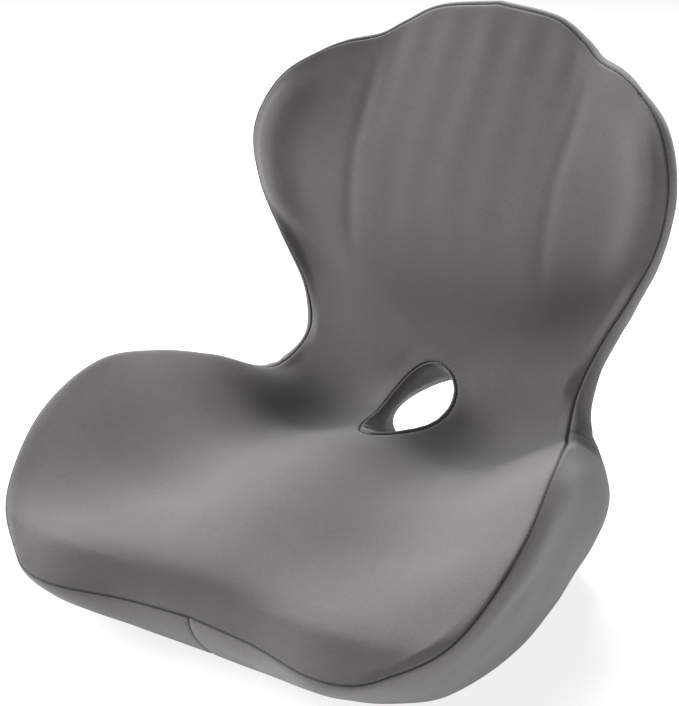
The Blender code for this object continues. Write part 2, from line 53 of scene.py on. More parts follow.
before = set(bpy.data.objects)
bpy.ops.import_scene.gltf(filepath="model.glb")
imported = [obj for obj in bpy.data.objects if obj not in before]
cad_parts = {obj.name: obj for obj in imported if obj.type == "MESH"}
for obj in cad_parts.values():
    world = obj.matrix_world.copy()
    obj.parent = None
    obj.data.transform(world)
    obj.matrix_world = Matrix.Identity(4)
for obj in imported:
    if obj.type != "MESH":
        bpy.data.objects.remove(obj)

# Stations along the middle of the L, front seam to top seam:
# centre y, centre z, seam x, seam y, seam z
FACE_STATIONS = (
    (-0.194, 0.046, 0.178, -0.198, 0.050),
    (-0.156, 0.068, 0.210, -0.161, 0.084),
    (-0.113, 0.097, 0.222, -0.106, 0.127),
    (-0.055, 0.112, 0.212, -0.046, 0.154),
    (0.005, 0.112, 0.193, 0.008, 0.150),
    (0.055, 0.106, 0.171, 0.060, 0.133),
    (0.108, 0.106, 0.147, 0.110, 0.112),
    (0.145, 0.124, 0.135, 0.150, 0.137),
    (0.158, 0.165, 0.147, 0.162, 0.176),
    (0.155, 0.215, 0.172, 0.159, 0.222),
    (0.157, 0.265, 0.193, 0.156, 0.268),
    (0.170, 0.313, 0.199, 0.157, 0.314),
    (0.195, 0.356, 0.185, 0.171, 0.354),
    (0.238, 0.431, 0.156, 0.191, 0.384),
)
REAR_STATIONS = (
    (-0.165, 0.000, 0.152, -0.152, 0.000),
    (-0.125, 0.000, 0.172, -0.120, 0.000),
    (-0.080, 0.000, 0.182, -0.078, 0.000),
    (-0.030, 0.000, 0.184, -0.030, 0.000),
    (0.020, 0.000, 0.179, 0.015, 0.000),
    (0.070, 0.000, 0.170, 0.065, 0.000),
    (0.125, 0.006, 0.150, 0.112, 0.006),
    (0.180, 0.045, 0.125, 0.160, 0.045),
    (0.208, 0.110, 0.114, 0.194, 0.110),
    (0.213, 0.175, 0.131, 0.212, 0.175),
    (0.213, 0.235, 0.155, 0.212, 0.236),
    (0.220, 0.290, 0.168, 0.211, 0.290),
    (0.236, 0.342, 0.160, 0.216, 0.338),
    (0.262, 0.414, 0.138, 0.228, 0.368),
)
# Fullness of the band at each station
BAND_STATIONS = (0.006, 0.007, 0.010, 0.014, 0.022, 0.032, 0.034, 0.016, 0.010, 0.010,
                 0.010, 0.010, 0.009, 0.006)
# Front and top edges, middle to corner: x, y, z
FRONT_EDGE = ((0.0, -0.194, 0.046), (0.060, -0.198, 0.044), (0.115, -0.211, 0.044),
              (0.150, -0.209, 0.046), (0.178, -0.198, 0.050))
TOP_EDGE = ((0.0, 0.238, 0.431), (0.055, 0.236, 0.424), (0.085, 0.229, 0.409),
            (0.105, 0.218, 0.397), (0.130, 0.205, 0.391), (0.156, 0.191, 0.384))
REAR_TOP_EDGE = ((0.0, 0.262, 0.414), (0.050, 0.258, 0.408), (0.078, 0.250, 0.396),
                 (0.095, 0.242, 0.385), (0.115, 0.236, 0.378), (0.138, 0.228, 0.368))
# Corners of the face and of the rear: place, way in, reach and how far each is drawn in
CORNERS = (
    (FACE_STATIONS[0][2:], (-0.61, 0.39, 0.69), 0.046, 0.0076),
    (FACE_STATIONS[-1][2:], (-0.47, 0.06, -0.88), 0.034, 0.0042),
    (REAR_STATIONS[0][2:], (-0.59, 0.81, 0.0), 0.040, 0.0080),
    (REAR_STATIONS[-1][2:], (-0.62, -0.02, -0.78), 0.034, 0.0043),
)
STATIONS = len(FACE_STATIONS) - 1
FACE_CROWN = 2.2
REAR_CROWN = 3.0
TROUGH_DEPTH = 0.020
LOBE_ROLL = 0.010
TOP_REACH = 6
FRONT_REACH = 14
DEPTH_SCALE = 0.370 / 0.369
BACK_FACE_Y = 0.158

# Tailbone opening, before the shift to the frame
OPENING_CENTRE = (0.0, 0.103, 0.116)
OPENING_HALF_WIDTH = 0.025
OPENING_HALF_LENGTH = 0.055
OPENING_TILT = math.radians(11.0)
OPENING_SLOPE = math.radians(30.0)
OPENING_FLARE = 0.062
OPENING_THROAT = 0.035
OPENING_DEPTH = 0.150

# Steps round the rim: half of the front or the top edge, a side edge, and the whole turn
EDGE_STEPS = 9.0
SIDE_STEPS = 39.0
RIM_STEPS = 4 * EDGE_STEPS + 2 * SIDE_STEPS
BOTTOM_END = 17.0 / 39      # the bottom fabric ends here along the rear
COVER = 0.0020
FLOOR_TOUCH = 0.0005        # cloth lower than this lies on the floor


def blend_step(low, high, value):
    """Smooth 0 to 1 between low and high."""
    part = np.clip((value - low) / (high - low), 0.0, 1.0)
    return part * part * (3.0 - 2.0 * part)


def through(rows, place):
    """Smooth curve through rows at place 0 to 1."""
    rows = np.asarray(rows, dtype=float)
    if rows.ndim == 1:
        rows = rows[:, None]
    last = len(rows) - 1
    ends = np.vstack([2 * rows[0] - rows[1], rows, 2 * rows[-1] - rows[-2]])
    step = np.clip(np.asarray(place, dtype=float), 0.0, 1.0) * last
    index = np.minimum(step.astype(int), last - 1)
    part = (step - index)[..., None]
    before, start, stop, after = (ends[index + shift] for shift in range(4))
    return (start + 0.5 * part * (stop - before)
            + part ** 2 * (before - 2.5 * start + 2.0 * stop - 0.5 * after)
            + part ** 3 * (1.5 * (start - stop) + 0.5 * (after - before)))


def edge_pull(points, rows, edge, across, crown, weight):
    """Draw one end row of a sheet onto its edge curve, fading along the sheet."""
    share = np.abs(across)
    target = through(edge, share)
    target[..., 0] *= np.sign(across)
    bend = share ** crown
    plain = np.stack([rows[2] * across, rows[0] + (rows[3] - rows[0]) * bend,
                      rows[1] + (rows[4] - rows[1]) * bend], axis=-1)
    return points + (target - plain) * weight[..., None]


def bent_sheet(stations, crown, across, along):
    """Plain sheet: the middle line bent out to the seam on each side."""
    row = through(stations, along)
    bend = np.abs(across) ** crown
    return np.stack([row[..., 2] * across,
                     row[..., 0] + (row[..., 3] - row[..., 0]) * bend,
                     row[..., 1] + (row[..., 4] - row[..., 1]) * bend], axis=-1)


def rounded(points):
    """Draw the four kinds of corner in, so that the outline turns smoothly."""
    for corner, way, reach, depth in CORNERS:
        side = np.where(points[..., 0] < 0, -1.0, 1.0)
        offset = points - np.stack([side * corner[0], 0 * side + corner[1], 0 * side + corner[2]],
                                   axis=-1)
        share = np.clip(1 - np.linalg.norm(offset, axis=-1) / reach, 0.0, 1.0) ** 2 * depth
        points = points + np.stack([side * way[0] * share, way[1] * share, way[2] * share],
                                   axis=-1)
    return points


def placed(points):
    """Carry drawn points to the frame's depth and place."""
    ahead = np.minimum(points[..., 1], BACK_FACE_Y)
    points[..., 1] += ahead * (DEPTH_SCALE - 1.0) + FRAME_SHIFT
    return points


def face_surface(across, along):
    """The side that the body touches: across -1 to 1, along 0 to 1 front to top."""
    points = bent_sheet(FACE_STATIONS, FACE_CROWN, across, along)
    points = edge_pull(points, FACE_STATIONS[-1], TOP_EDGE, across, FACE_CROWN, along ** TOP_REACH)
    points = edge_pull(points, FACE_STATIONS[0], FRONT_EDGE, across, FACE_CROWN,
                       (1 - along) ** FRONT_REACH)
    station = along * STATIONS
    hollow = np.sin(math.pi * np.abs(across)) ** 2
    trough = TROUGH_DEPTH * blend_step(0.2, 2.5, station) * (1 - blend_step(5.0, 8.0, station))
    roll = blend_step(0.0, 0.6, station) * (1 - blend_step(0.8, 2.2, station))
    points[..., 1] -= 0.4 * LOBE_ROLL * roll * hollow
    points[..., 2] += (LOBE_ROLL * roll - trough) * hollow
    return placed(rounded(points))


def rear_surface(across, along):
    """The rear and the flat bottom, with the same two directions as the face."""
    points = bent_sheet(REAR_STATIONS, REAR_CROWN, across, along)
    points = edge_pull(points, REAR_STATIONS[-1], REAR_TOP_EDGE, across, REAR_CROWN,
                       along ** TOP_REACH)
    points[..., 2] = np.maximum(points[..., 2], 0.0)
    return placed(rounded(points))


# The drawn shape is placed first without any shift, to find the shift to the frame
FRAME_SHIFT = 0.0
FRAME_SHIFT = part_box("seat_face_panel")[0][1] - float(
    face_surface(np.linspace(-1, 1, 181), np.zeros(181))[:, 1].min())


def side_spacing(count):
    """Places from -1 to 1 that lie closer together towards both ends."""
    even = np.linspace(-1.0, 1.0, count + 1)
    return even * (1.2 - 0.2 * even ** 4)


def grid_places(across, along, low=0.0, high=1.0):
    """Across and along of every point of a panel's grid."""
    rows = low + (high - low) * (side_spacing(along) + 1) / 2
    return np.meshgrid(side_spacing(across), rows)


def rim_step(across, along):
    """Step round the rim of the nearest edge point, in the band's steps."""
    side, length = EDGE_STEPS, SIDE_STEPS
    to_side, to_front, to_top = 1 - np.abs(across), along * 4.0, (1 - along) * 4.0
    right = across >= 0
    by_side = np.where(right, side + length * along, 3 * side + length + length * (1 - along))
    by_front = np.where(right, side * across, 3 * side + 2 * length + side * (1 + across))
    by_top = side + length + side * (1 - across)
    nearest = np.argmin(np.stack([to_side, to_front, to_top]), axis=0)
    return np.choose(nearest, [by_side, by_front, by_top])


def rim_place(step):
    """Across and along at a step round the rim, from the front middle towards +X."""
    side, length, turn = EDGE_STEPS, SIDE_STEPS, RIM_STEPS
    step = np.mod(step, turn)
    marks = np.array([0, side, side + length, 3 * side + length, 3 * side + 2 * length, turn])
    return (np.interp(step, marks, [0, 1, 1, -1, -1, 0]),
            np.interp(step, marks, [0, 0, 1, 1, 0, 0]))


def unit(vectors):
    return vectors / np.maximum(np.linalg.norm(vectors, axis=-1, keepdims=True), 1e-12)


def band_outward(step):
    """Way out from the band, square to its chord and to the rim."""
    def rim(surface, shift):
        return surface(*rim_place(step + shift))
    chord = rim(rear_surface, 0) - rim(face_surface, 0)
    return unit(np.cross(chord, rim(face_surface, 1) - rim(face_surface, -1)))


def band_surface(step, drop):
    """The band: step round the rim, drop 0 at the face seam to 1 at the rear seam."""
    place = rim_place(step)
    seam, foot = face_surface(*place), rear_surface(*place)
    full = through(BAND_STATIONS, place[1])
    swell = np.sin(math.pi * drop ** 0.75)[..., None]
    return seam + (foot - seam) * drop[..., None] + band_outward(step) * full * swell


def surface_normal(surface, first, second, outward):
    """Unit normal by small steps that stay on the sheet."""
    small = 0.004
    ahead, behind = np.clip(first + small, -1, 1), np.clip(first - small, -1, 1)
    up, down = np.clip(second + small, 0, 1), np.clip(second - small, 0, 1)
    normal = np.cross(surface(ahead, second) - surface(behind, second),
                      surface(first, up) - surface(first, down))
    return unit(normal) * outward


def face_normal(across, along):
    return surface_normal(face_surface, across, along, 1.0)


def rear_normal(across, along):
    return surface_normal(rear_surface, across, along, -1.0)


def band_normal(step, drop):
    """Unit normal of the band, pointing out."""
    shift, small = 0.15, 0.01
    down, up = np.clip(drop + small, 0, 1), np.clip(drop - small, 0, 1)
    normal = np.cross(band_surface(step, down) - band_surface(step, up),
                      band_surface(step + shift, drop) - band_surface(step - shift, drop))
    return unit(normal)


def seam_pull(step, top):
    """Way in at a point of the face seam or of the rear seam."""
    across, along = rim_place(step)
    drop = np.zeros_like(step) if top else np.ones_like(step)
    sheet_normal = face_normal(across, along) if top else rear_normal(across, along)
    return -unit(sheet_normal + band_normal(step, drop))


def edge_distance(points):
    """Distance of each grid point from the nearest edge, measured along the cloth."""
    def run(axis):
        length = np.linalg.norm(np.diff(points, axis=axis), axis=-1)
        start = np.zeros_like(np.take(length, [0], axis=axis))
        total = np.concatenate([start, np.cumsum(length, axis=axis)], axis=axis)
        last = np.take(total, [-1], axis=axis)
        return total, last - total
    return run(0), run(1)


def ripple(points, seed, scale, count=6):
    """Gentle unevenness of a given wavelength, the same on every run, about -1 to 1."""
    chance = np.random.default_rng(seed)
    total = np.zeros(points.shape[:-1])
    for _ in range(count):
        way = unit(chance.normal(size=3))
        wave = scale * chance.uniform(0.7, 1.5)
        total += np.sin(points @ way * (2 * math.pi / wave) + chance.uniform(0, 2 * math.pi))
    return total / count * 1.6


def near(value, centre, width):
    """Bell round a centre, 1 at the centre."""
    return np.exp(-((value - centre) / width) ** 2)


# ------------------------------------------------------------- tailbone opening

def opening_axes():
    """Centre of the opening, the way down it, its long way and its square way."""
    centre = np.array(OPENING_CENTRE) + [0, FRAME_SHIFT, 0]
    down = np.array([0, math.cos(OPENING_SLOPE), -math.sin(OPENING_SLOPE)])
    long_way = np.array([0, math.cos(OPENING_TILT), math.sin(OPENING_TILT)])
    square = np.array([0, math.sin(OPENING_SLOPE), math.cos(OPENING_SLOPE)])
    return centre, down, long_way, square


def opening_halves(depth, grow):
    """Half width and half length of the opening at a depth."""
    share = np.maximum(depth - OPENING_THROAT, 0.0) / (OPENING_DEPTH - OPENING_THROAT)
    return (OPENING_HALF_WIDTH + OPENING_FLARE * share + grow,
            OPENING_HALF_LENGTH + grow + 0 * share)


def opening_wall(turn, depth, grow=0.0):
    """Point of the opening's wall at an angle and a depth."""
    centre, down, long_way, _ = opening_axes()
    half_x, half_y = opening_halves(depth, grow)
    point = centre + down * depth[..., None] + long_way * (half_y * np.sin(turn))[..., None]
    point[..., 0] += half_x * np.cos(turn)
    return point


def opening_share(points, depth, grow):
    """Where points lie in the opening's section: 1 on its wall, with the angle."""
    centre, _, long_way, square = opening_axes()
    half_x, half_y = opening_halves(depth, grow)
    side = points[..., 0] / half_x
    rise = (points - centre) @ square / (half_y * (long_way @ square))
    return np.hypot(side, rise), np.arctan2(rise, side)


def on_sheet(surface, turn, depth, grow, guess):
    """Across and along where the opening's wall, at a depth's width, meets a sheet."""
    centre, _, long_way, square = opening_axes()
    half_x, half_y = opening_halves(depth, grow)
    goal = np.stack([half_x * np.cos(turn), half_y * np.sin(turn) * (long_way @ square)], -1)
    place = np.array([np.full_like(turn, guess[0]), np.full_like(turn, guess[1])])

    def miss(across, along):
        point = surface(across, along)
        return np.stack([point[..., 0], (point - centre) @ square], -1) - goal

    small = 1e-4
    for _ in range(14):
        wrong = miss(*place)
        by_across = (miss(place[0] + small, place[1]) - wrong) / small
        by_along = (miss(place[0], place[1] + small) - wrong) / small
        area = by_across[..., 0] * by_along[..., 1] - by_across[..., 1] * by_along[..., 0]
        place[0] -= np.clip((wrong[..., 0] * by_along[..., 1]
                             - wrong[..., 1] * by_along[..., 0]) / area, -0.2, 0.2)
        place[1] -= np.clip((wrong[..., 1] * by_across[..., 0]
                             - wrong[..., 0] * by_across[..., 1]) / area, -0.05, 0.05)
    return place


MOUTH_LIP = 0.0055
OUTLET_LIP = 0.0060
MOUTH_GUESS = (0.0, 6.0 / 13)
OUTLET_GUESS = (0.0, 7.6 / 13)


def mouth_places(turn, grow):
    """Across and along of the mouth's edge on the face, grown by a lip."""
    return on_sheet(face_surface, turn, np.zeros_like(turn), grow, MOUTH_GUESS)


def outlet_depth(turn):
    """Depth at which the opening's wall leaves through the rear."""
    centre, down, long_way, _ = opening_axes()
    depth = np.full_like(turn, 0.09)
    for _ in range(8):
        point = rear_surface(*on_sheet(rear_surface, turn, depth, 0.0, OUTLET_GUESS))
        _, half_y = opening_halves(depth, 0.0)
        depth = (point - centre - long_way * (half_y * np.sin(turn))[..., None]) @ down
    return depth


def open_grid(across, along, edge, reach=2.2):
    """Draw a grid round an opening. Gives the new places and the mask of points inside."""
    middle = np.array([edge[0].mean(), (edge[1].min() + edge[1].max()) / 2])
    half = np.array([np.ptp(edge[0]) / 2, np.ptp(edge[1]) / 2])
    rows, columns = across.shape
    column = int(np.argmin(np.abs(across[0] - middle[0])))
    row = int(np.argmin(np.abs(along[:, 0] - middle[1])))
    wide = int(round(half[0] / abs(across[0, column + 1] - across[0, column])))
    tall = int(round(half[1] / abs(along[row + 1, 0] - along[row, 0])))
    index_row, index_column = np.mgrid[0:rows, 0:columns]
    ring = np.maximum(np.abs(index_column - column) / wide, np.abs(index_row - row) / tall)
    angle = np.arctan2((along - middle[1]) / half[1], (across - middle[0]) / half[0])
    edge_angle = np.unwrap(np.arctan2((edge[1] - middle[1]) / half[1],
                                      (edge[0] - middle[0]) / half[0]))
    order = np.argsort(edge_angle)
    in_order, whole = edge_angle[order], 2 * math.pi
    known = np.concatenate([in_order - whole, in_order, in_order + whole])
    rim_across = np.interp(angle, known, np.tile(edge[0][order], 3))
    rim_along = np.interp(angle, known, np.tile(edge[1][order], 3))
    away = np.clip((ring - 1) / (reach - 1), 0.0, 1.0)
    new_across = rim_across + (across - rim_across) * away
    new_along = rim_along + (along - rim_along) * away
    inside = ring < 1.0 - 1e-9
    return (np.where(inside, across, new_across), np.where(inside, along, new_along), inside)


# ------------------------------------------------------------- cloth simulation

made = {}
SWELL_FRAMES = 20
SMOOTHING_PASSES = 4


def sampled(field, columns, rows, across, along):
    """A grid's field read at other places, on a smooth curve through its points."""
    def taps(value, marks):
        step = np.interp(value, marks, np.arange(len(marks)))
        base = np.minimum(step.astype(int), len(marks) - 2)
        part = step - base
        weights = (-0.5 * part + part ** 2 - 0.5 * part ** 3,
                   1.0 - 2.5 * part ** 2 + 1.5 * part ** 3,
                   0.5 * part + 2.0 * part ** 2 - 1.5 * part ** 3,
                   -0.5 * part ** 2 + 0.5 * part ** 3)
        spots = [np.clip(base + shift, 0, len(marks) - 1) for shift in (-1, 0, 1, 2)]
        return list(zip(spots, weights))
    total = 0.0
    for row, by_row in taps(along, rows):
        for column, by_column in taps(across, columns):
            total = total + field[row, column] * (by_row * by_column)[..., None]
    return total


def add_grid(shell, points, region, spots):
    """Lay a grid on points given by row and column, and note which point each vertex is."""
    rows, columns = points.shape[0] - 1, points.shape[1] - 1
    new = bmesh.ops.create_grid(shell, x_segments=columns, y_segments=rows, size=1.0)["verts"]
    region_layer = shell.verts.layers.int["region"]
    spot_layer = shell.verts.layers.int["spot"]
    for vert in new:
        column = int(round((vert.co.x + 1) / 2 * columns))
        row = int(round((vert.co.y + 1) / 2 * rows))
        vert[region_layer] = region
        vert[spot_layer] = row * (columns + 1) + column
        vert.co = Vector(points[row, column])
    spots[region] = (rows + 1, columns + 1)


def swell_cover(size):
    """Blow the sewn cover up over its foam and keep how each point moved."""
    across, along, drops = 44, 96, 12
    columns = side_spacing(across)
    rows = (side_spacing(along) + 1) / 2
    face_places = np.meshgrid(columns, rows)
    half = across // 2
    second_side = 3 * EDGE_STEPS + SIDE_STEPS
    step = np.concatenate([
        EDGE_STEPS * columns[half:-1], EDGE_STEPS + SIDE_STEPS * rows[:-1],
        EDGE_STEPS + SIDE_STEPS + EDGE_STEPS * (1 - columns[::-1][:-1]),
        second_side + SIDE_STEPS * (1 - rows[::-1][:-1]),
        second_side + SIDE_STEPS + EDGE_STEPS * (1 + columns[:half + 1])])
    drop_row = (side_spacing(drops) + 1) / 2
    steps, drops_at = np.meshgrid(step, drop_row)
    sheets = {0: face_surface(*face_places), 1: rear_surface(*face_places),
              2: band_surface(steps, drops_at)}
    moved = {region: np.zeros_like(points) for region, points in sheets.items()}
    made["columns"], made["rows"], made["step"], made["drop"] = columns, rows, step, drop_row
    made["moved"] = moved
    shell = bmesh.new()
    shell.verts.layers.int.new("region")
    shell.verts.layers.int.new("spot")
    spots = {}
    for region, points in sheets.items():
        add_grid(shell, points, region, spots)
    bmesh.ops.remove_doubles(shell, verts=shell.verts, dist=0.00002)
    bmesh.ops.recalc_face_normals(shell, faces=shell.faces)
    region_layer, spot_layer = (shell.verts.layers.int[name] for name in ("region", "spot"))
    region_of = np.array([vert[region_layer] for vert in shell.verts])
    spot_of = np.array([vert[spot_layer] for vert in shell.verts])
    start = np.array([vert.co for vert in shell.verts])
    mesh = bpy.data.meshes.new("swelling_cover")
    shell.to_mesh(mesh)
    shell.free()
    cover = bpy.data.objects.new("swelling_cover", mesh)
    bpy.context.scene.collection.objects.link(cover)
    held = cover.vertex_groups.new(name="held")
    for number, (region, spot) in enumerate(zip(region_of, spot_of)):
        row, column = divmod(int(spot), spots[region][1])
        last_row, last_column = spots[region][0] - 1, spots[region][1] - 1
        on_edge = row in (0, last_row) or (region < 2 and column in (0, last_column))
        weight = 1.0 if on_edge else (0.5, 0.8, 0.25)[region]
        if region < 2 and start[number][2] < FLOOR_TOUCH:
            weight = 1.0
        if region == 2 and abs(start[number][0]) < 0.002 and start[number][2] < 0.06:
            weight = 1.0        # the seam at the middle of the front
        held.add([number], weight, "REPLACE")
    cloth = cover.modifiers.new("swell", "CLOTH")
    cloth.settings.quality = 4
    cloth.settings.mass = 0.25
    cloth.settings.tension_stiffness = 12
    cloth.settings.compression_stiffness = 4
    cloth.settings.shear_stiffness = 4
    cloth.settings.bending_stiffness = 4.0
    cloth.settings.use_pressure = True
    cloth.settings.uniform_pressure_force = size.pressure
    cloth.settings.vertex_group_mass = "held"
    cloth.settings.pin_stiffness = 0.6
    cloth.settings.effector_weights.gravity = 0.0
    cloth.collision_settings.use_collision = False
    scene = bpy.context.scene
    for number in range(SWELL_FRAMES):
        scene.frame_set(number + 1)
    swollen = cover.evaluated_get(bpy.context.evaluated_depsgraph_get())
    end = np.array([vert.co for vert in swollen.data.vertices])
    shift = end - start
    far = np.linalg.norm(shift, axis=1, keepdims=True)
    shift *= np.minimum(1.0, size.swell_limit / np.maximum(far, 1e-9))
    for number, (region, spot) in enumerate(zip(region_of, spot_of)):
        row, column = divmod(int(spot), spots[region][1])
        moved[region][row, column] = shift[number]
    for field in moved.values():
        for _ in range(SMOOTHING_PASSES):
            inner = field[1:-1, 1:-1]
            inner += 0.5 * ((field[:-2, 1:-1] + field[2:, 1:-1] + field[1:-1, :-2]
                             + field[1:-1, 2:]) / 4 - inner)
    bpy.data.objects.remove(cover, do_unlink=True)
    scene.frame_set(1)


# ------------------------------------------------------------- panels

def stretch_uv(points):
    """Place of each grid point on the flat cloth, in metres."""
    (down, _), (right, _) = edge_distance(points)
    middle = points.shape[1] // 2
    return np.stack([right - right[:, middle:middle + 1], down[:, middle:middle + 1] + 0 * right],
                    axis=-1)


def panel(name, points, seam, finish, inside=None, pile_and_painted_shade=None):
    """A sewn panel from its grid of points, as an object with its thickness."""
    rows, columns = points.shape[0] - 1, points.shape[1] - 1
    cloth = bmesh.new()
    layout = cloth.loops.layers.uv.new("cloth")
    seam_layer = cloth.verts.layers.float.new("seam")
    # Painted shade per point, 0 to 1, which the finish turns into a darker colour
    painted_shade_layer = cloth.verts.layers.float.new("pile_and_painted_shade")
    spot_layer = cloth.verts.layers.int.new("spot")
    new = bmesh.ops.create_grid(cloth, x_segments=columns, y_segments=rows, size=1.0)["verts"]
    flat = stretch_uv(points)
    gone = []
    for vert in new:
        column = int(round((vert.co.x + 1) / 2 * columns))
        row = int(round((vert.co.y + 1) / 2 * rows))
        vert[spot_layer] = row * (columns + 1) + column
        vert[seam_layer] = seam[row, column]
        vert[painted_shade_layer] = 0.0 if pile_and_painted_shade is None else pile_and_painted_shade[row, column]
        vert.co = Vector(points[row, column])
        if inside is not None and inside[row, column]:
            gone.append(vert)
    bmesh.ops.delete(cloth, geom=gone, context="VERTS")
    for face in cloth.faces:
        for loop in face.loops:
            row, column = divmod(loop.vert[spot_layer], columns + 1)
            loop[layout].uv = flat[row, column]
    cloth.verts.layers.int.remove(spot_layer)
    return cloth_object(name, cloth, finish)


def cloth_object(name, cloth, finish, thick=COVER):
    """Finish a bmesh as an object, with a wall inward where it is thick."""
    mesh = bpy.data.meshes.new(name)
    cloth.normal_update()
    cloth.to_mesh(mesh)
    cloth.free()
    mesh.materials.append(finish)
    mesh.shade_smooth()
    piece = bpy.data.objects.new(name, mesh)
    bpy.context.scene.collection.objects.link(piece)
    if thick:
        wall = piece.modifiers.new("cloth thickness", "SOLIDIFY")
        wall.thickness = thick
        wall.offset = -1.0
        wall.use_even_offset = False
    return piece


def seam_shape(points, normals, distance, step, top, size):
    """Pull the cloth in at its seams, with a soft roll beside them."""
    groove = size.seam_depth * near(distance, 0.0, 0.0012)
    roll = 0.0009 * (distance / 0.006) * np.exp(1 - distance / 0.006)
    return (points + seam_pull(step, top) * groove[..., None]
            + normals * roll[..., None])


def close_to_mouth(points):
    """1 on the opening's seam, falling to 0 a little away from it."""
    share, _ = opening_share(points, np.zeros(points.shape[:-1]), MOUTH_LIP)
    return 1 - blend_step(1.0, 1.0 + 0.020 / 0.03, share)


def face_relief(across, along, points):
    """Channels, valleys and dents of the face, in metres along its normal."""
    station = along * STATIONS
    side = np.abs(points[..., 0])
    up = blend_step(8.7, 9.9, station)
    ridges = np.cos(points[..., 0] * 2 * math.pi / 0.036) * (1 - blend_step(0.080, 0.094, side))
    height = 0.00024 * ridges * blend_step(8.4, 11.0, station) * (
        1 - blend_step(12.6, 13.0, station))
    height += 0.0004 * ridges * near(station, 12.8, 0.35)
    valley = near(side, 0.099 - 0.004 * (12 - station) * 0.5, 0.0065)
    height -= 0.0014 * valley * up * (1 - blend_step(12.0, 12.9, station))
    height += 0.0030 * near(station, 0.55, 0.45) * (1 - near(across, 0.0, 0.30))
    height -= 0.0070 * near(station, 8.75, 0.70) * near(np.abs(across), 0.84, 0.26)
    flank = blend_step(0.12, 0.55, np.abs(across))
    height -= 0.0030 * near(station, 6.35, 0.34) * flank
    height += 0.0040 * near(station, 7.15, 0.42) * blend_step(0.05, 0.5, np.abs(across))
    height += 0.0005 * ripple(points, 3, 0.11) + 0.00008 * ripple(points, 4, 0.045, 9)
    return height * (1 - close_to_mouth(points))


def wing_pad(along, distance):
    """The padded rim of the back, in metres along the face's normal."""
    station = along * STATIONS
    run = blend_step(8.9, 10.0, station) * (1 - blend_step(11.5, 12.6, station))
    return 0.0062 * run * near(distance, 0.021, 0.017)


def painted_shade_mask(across, along):
    """Painted shade at the waist flanks, front roll, low back and rear sides of the seat."""
    station = along * STATIONS
    flank = near(station, 8.9, 0.95) * near(np.abs(across), 0.84, 0.34)
    front = near(station, 0.75, 0.60) * near(across, 0.0, 0.42)
    low_back = near(station, 8.5, 0.85) * near(np.abs(across), 0.15, 0.45)
    behind = near(station, 5.4, 0.8) * near(np.abs(across), 0.75, 0.35)
    return np.clip(0.85 * flank + 0.55 * front + 0.40 * low_back + 0.55 * behind, 0.0, 1.0)


def front_roll(across, along):
    """Steepens the front between the lobes, as a shift forward and up."""
    share = near(along * STATIONS, 0.95, 0.62) * near(across, 0.0, 0.36)
    return share[..., None] * np.array([0.0, -0.0150, 0.0065])


def face_cover(size, finish):
    """The long panel that the body touches, shaped, seamed and cut open at the mouth."""
    across, along = grid_places(150, 262)
    turn = np.linspace(0, 2 * math.pi, 240, endpoint=False)
    edge = mouth_places(turn, MOUTH_LIP)
    across, along, inside = open_grid(across, along, edge)
    points = face_surface(across, along) + front_roll(across, along)
    calm = 1 - close_to_mouth(points)
    points = points + sampled(made["moved"][0], made["columns"], made["rows"],
                              across, along) * calm[..., None]
    normals = face_normal(across, along)
    height = face_relief(across, along, points)
    (low, high), (left, right) = edge_distance(points)
    distance = np.minimum(np.minimum(low, high), np.minimum(left, right))
    height += wing_pad(along, np.minimum(left, right))
    height *= blend_step(0.0, 0.012, distance)
    points = points + normals * height[..., None]
    points = seam_shape(points, normals, distance, rim_step(across, along), True, size)
    share, _ = opening_share(points, np.zeros(points.shape[:-1]), MOUTH_LIP)
    mouth = np.maximum(share - 1, 0) * 0.045
    points = points - normals * (0.0008 * near(mouth, 0.0, 0.0011))[..., None]
    points = points + normals * (0.0005 * (mouth / 0.006) * np.exp(1 - mouth / 0.006)
                                 * (share < 1.6))[..., None]
    # The last argument is the painted shade of the flanks, front roll and low back
    piece = panel("face_cover", points, np.minimum(distance, mouth), finish, inside,
                  painted_shade_mask(across, along))
    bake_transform(piece)
    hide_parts("seat_face_panel", "back_face_panel")
    made["face"] = piece


FOLD_STATION = 6.25
FOLD_RISE = 9.0


def fold_slant(drop):
    """How far the waist fold has moved along the rim at a drop, in rim steps."""
    return FOLD_RISE * blend_step(0.0, 1.0, drop)


def band_points(first, last, slants, count, drops, size, ends=()):
    """Points and seam distance of a run of the band; an end at the waist follows the fold."""
    drop_row = (side_spacing(drops) + 1) / 2
    share, drop = np.meshgrid((side_spacing(count) + 1) / 2, drop_row)
    begin = first + slants[0] * fold_slant(drop)
    finish = last + slants[1] * fold_slant(drop)
    step = begin + (finish - begin) * share
    points = band_surface(step, drop)
    normals = band_normal(step, drop)
    turned = np.mod(step, RIM_STEPS)
    points = points + sampled(made["moved"][2], made["step"], made["drop"], turned, drop)
    (low, high), (left, right) = edge_distance(points)
    distance = np.minimum(low, high)
    height = 0.0005 * ripple(points, 7, 0.07) + 0.0002 * ripple(points, 8, 0.028, 9)
    place = rim_place(step)
    station = place[1] * STATIONS
    seat_side = blend_step(0.5, 2.0, station) * (1 - blend_step(6.0, 7.0, station))
    height += 0.0032 * seat_side * near(drop, 0.12, 0.11)
    waist = near(station, 8.6, 0.8) * np.sin(math.pi * drop)
    height += 0.0004 * waist * np.sin(station * 9.0 + drop * 5.0)
    points = points + normals * (height * blend_step(0.0, 0.012, distance))[..., None]
    points = np.where((low < high)[..., None],
                      seam_shape(points, normals, low, step, True, size),
                      seam_shape(points, normals, high, step, False, size))
    for end, depth, width in ends:
        run = left if end == "first" else right
        fade = 1.0
        if width > 0.003:
            fade = blend_step(0.0, 0.10, drop) * (1 - 0.8 * blend_step(0.35, 0.9, drop))
        points = points - normals * (depth * fade * near(run, 0.0, width))[..., None]
        distance = np.minimum(distance, run)
    points[..., 2] = np.maximum(points[..., 2], 0.0)
    return points, distance


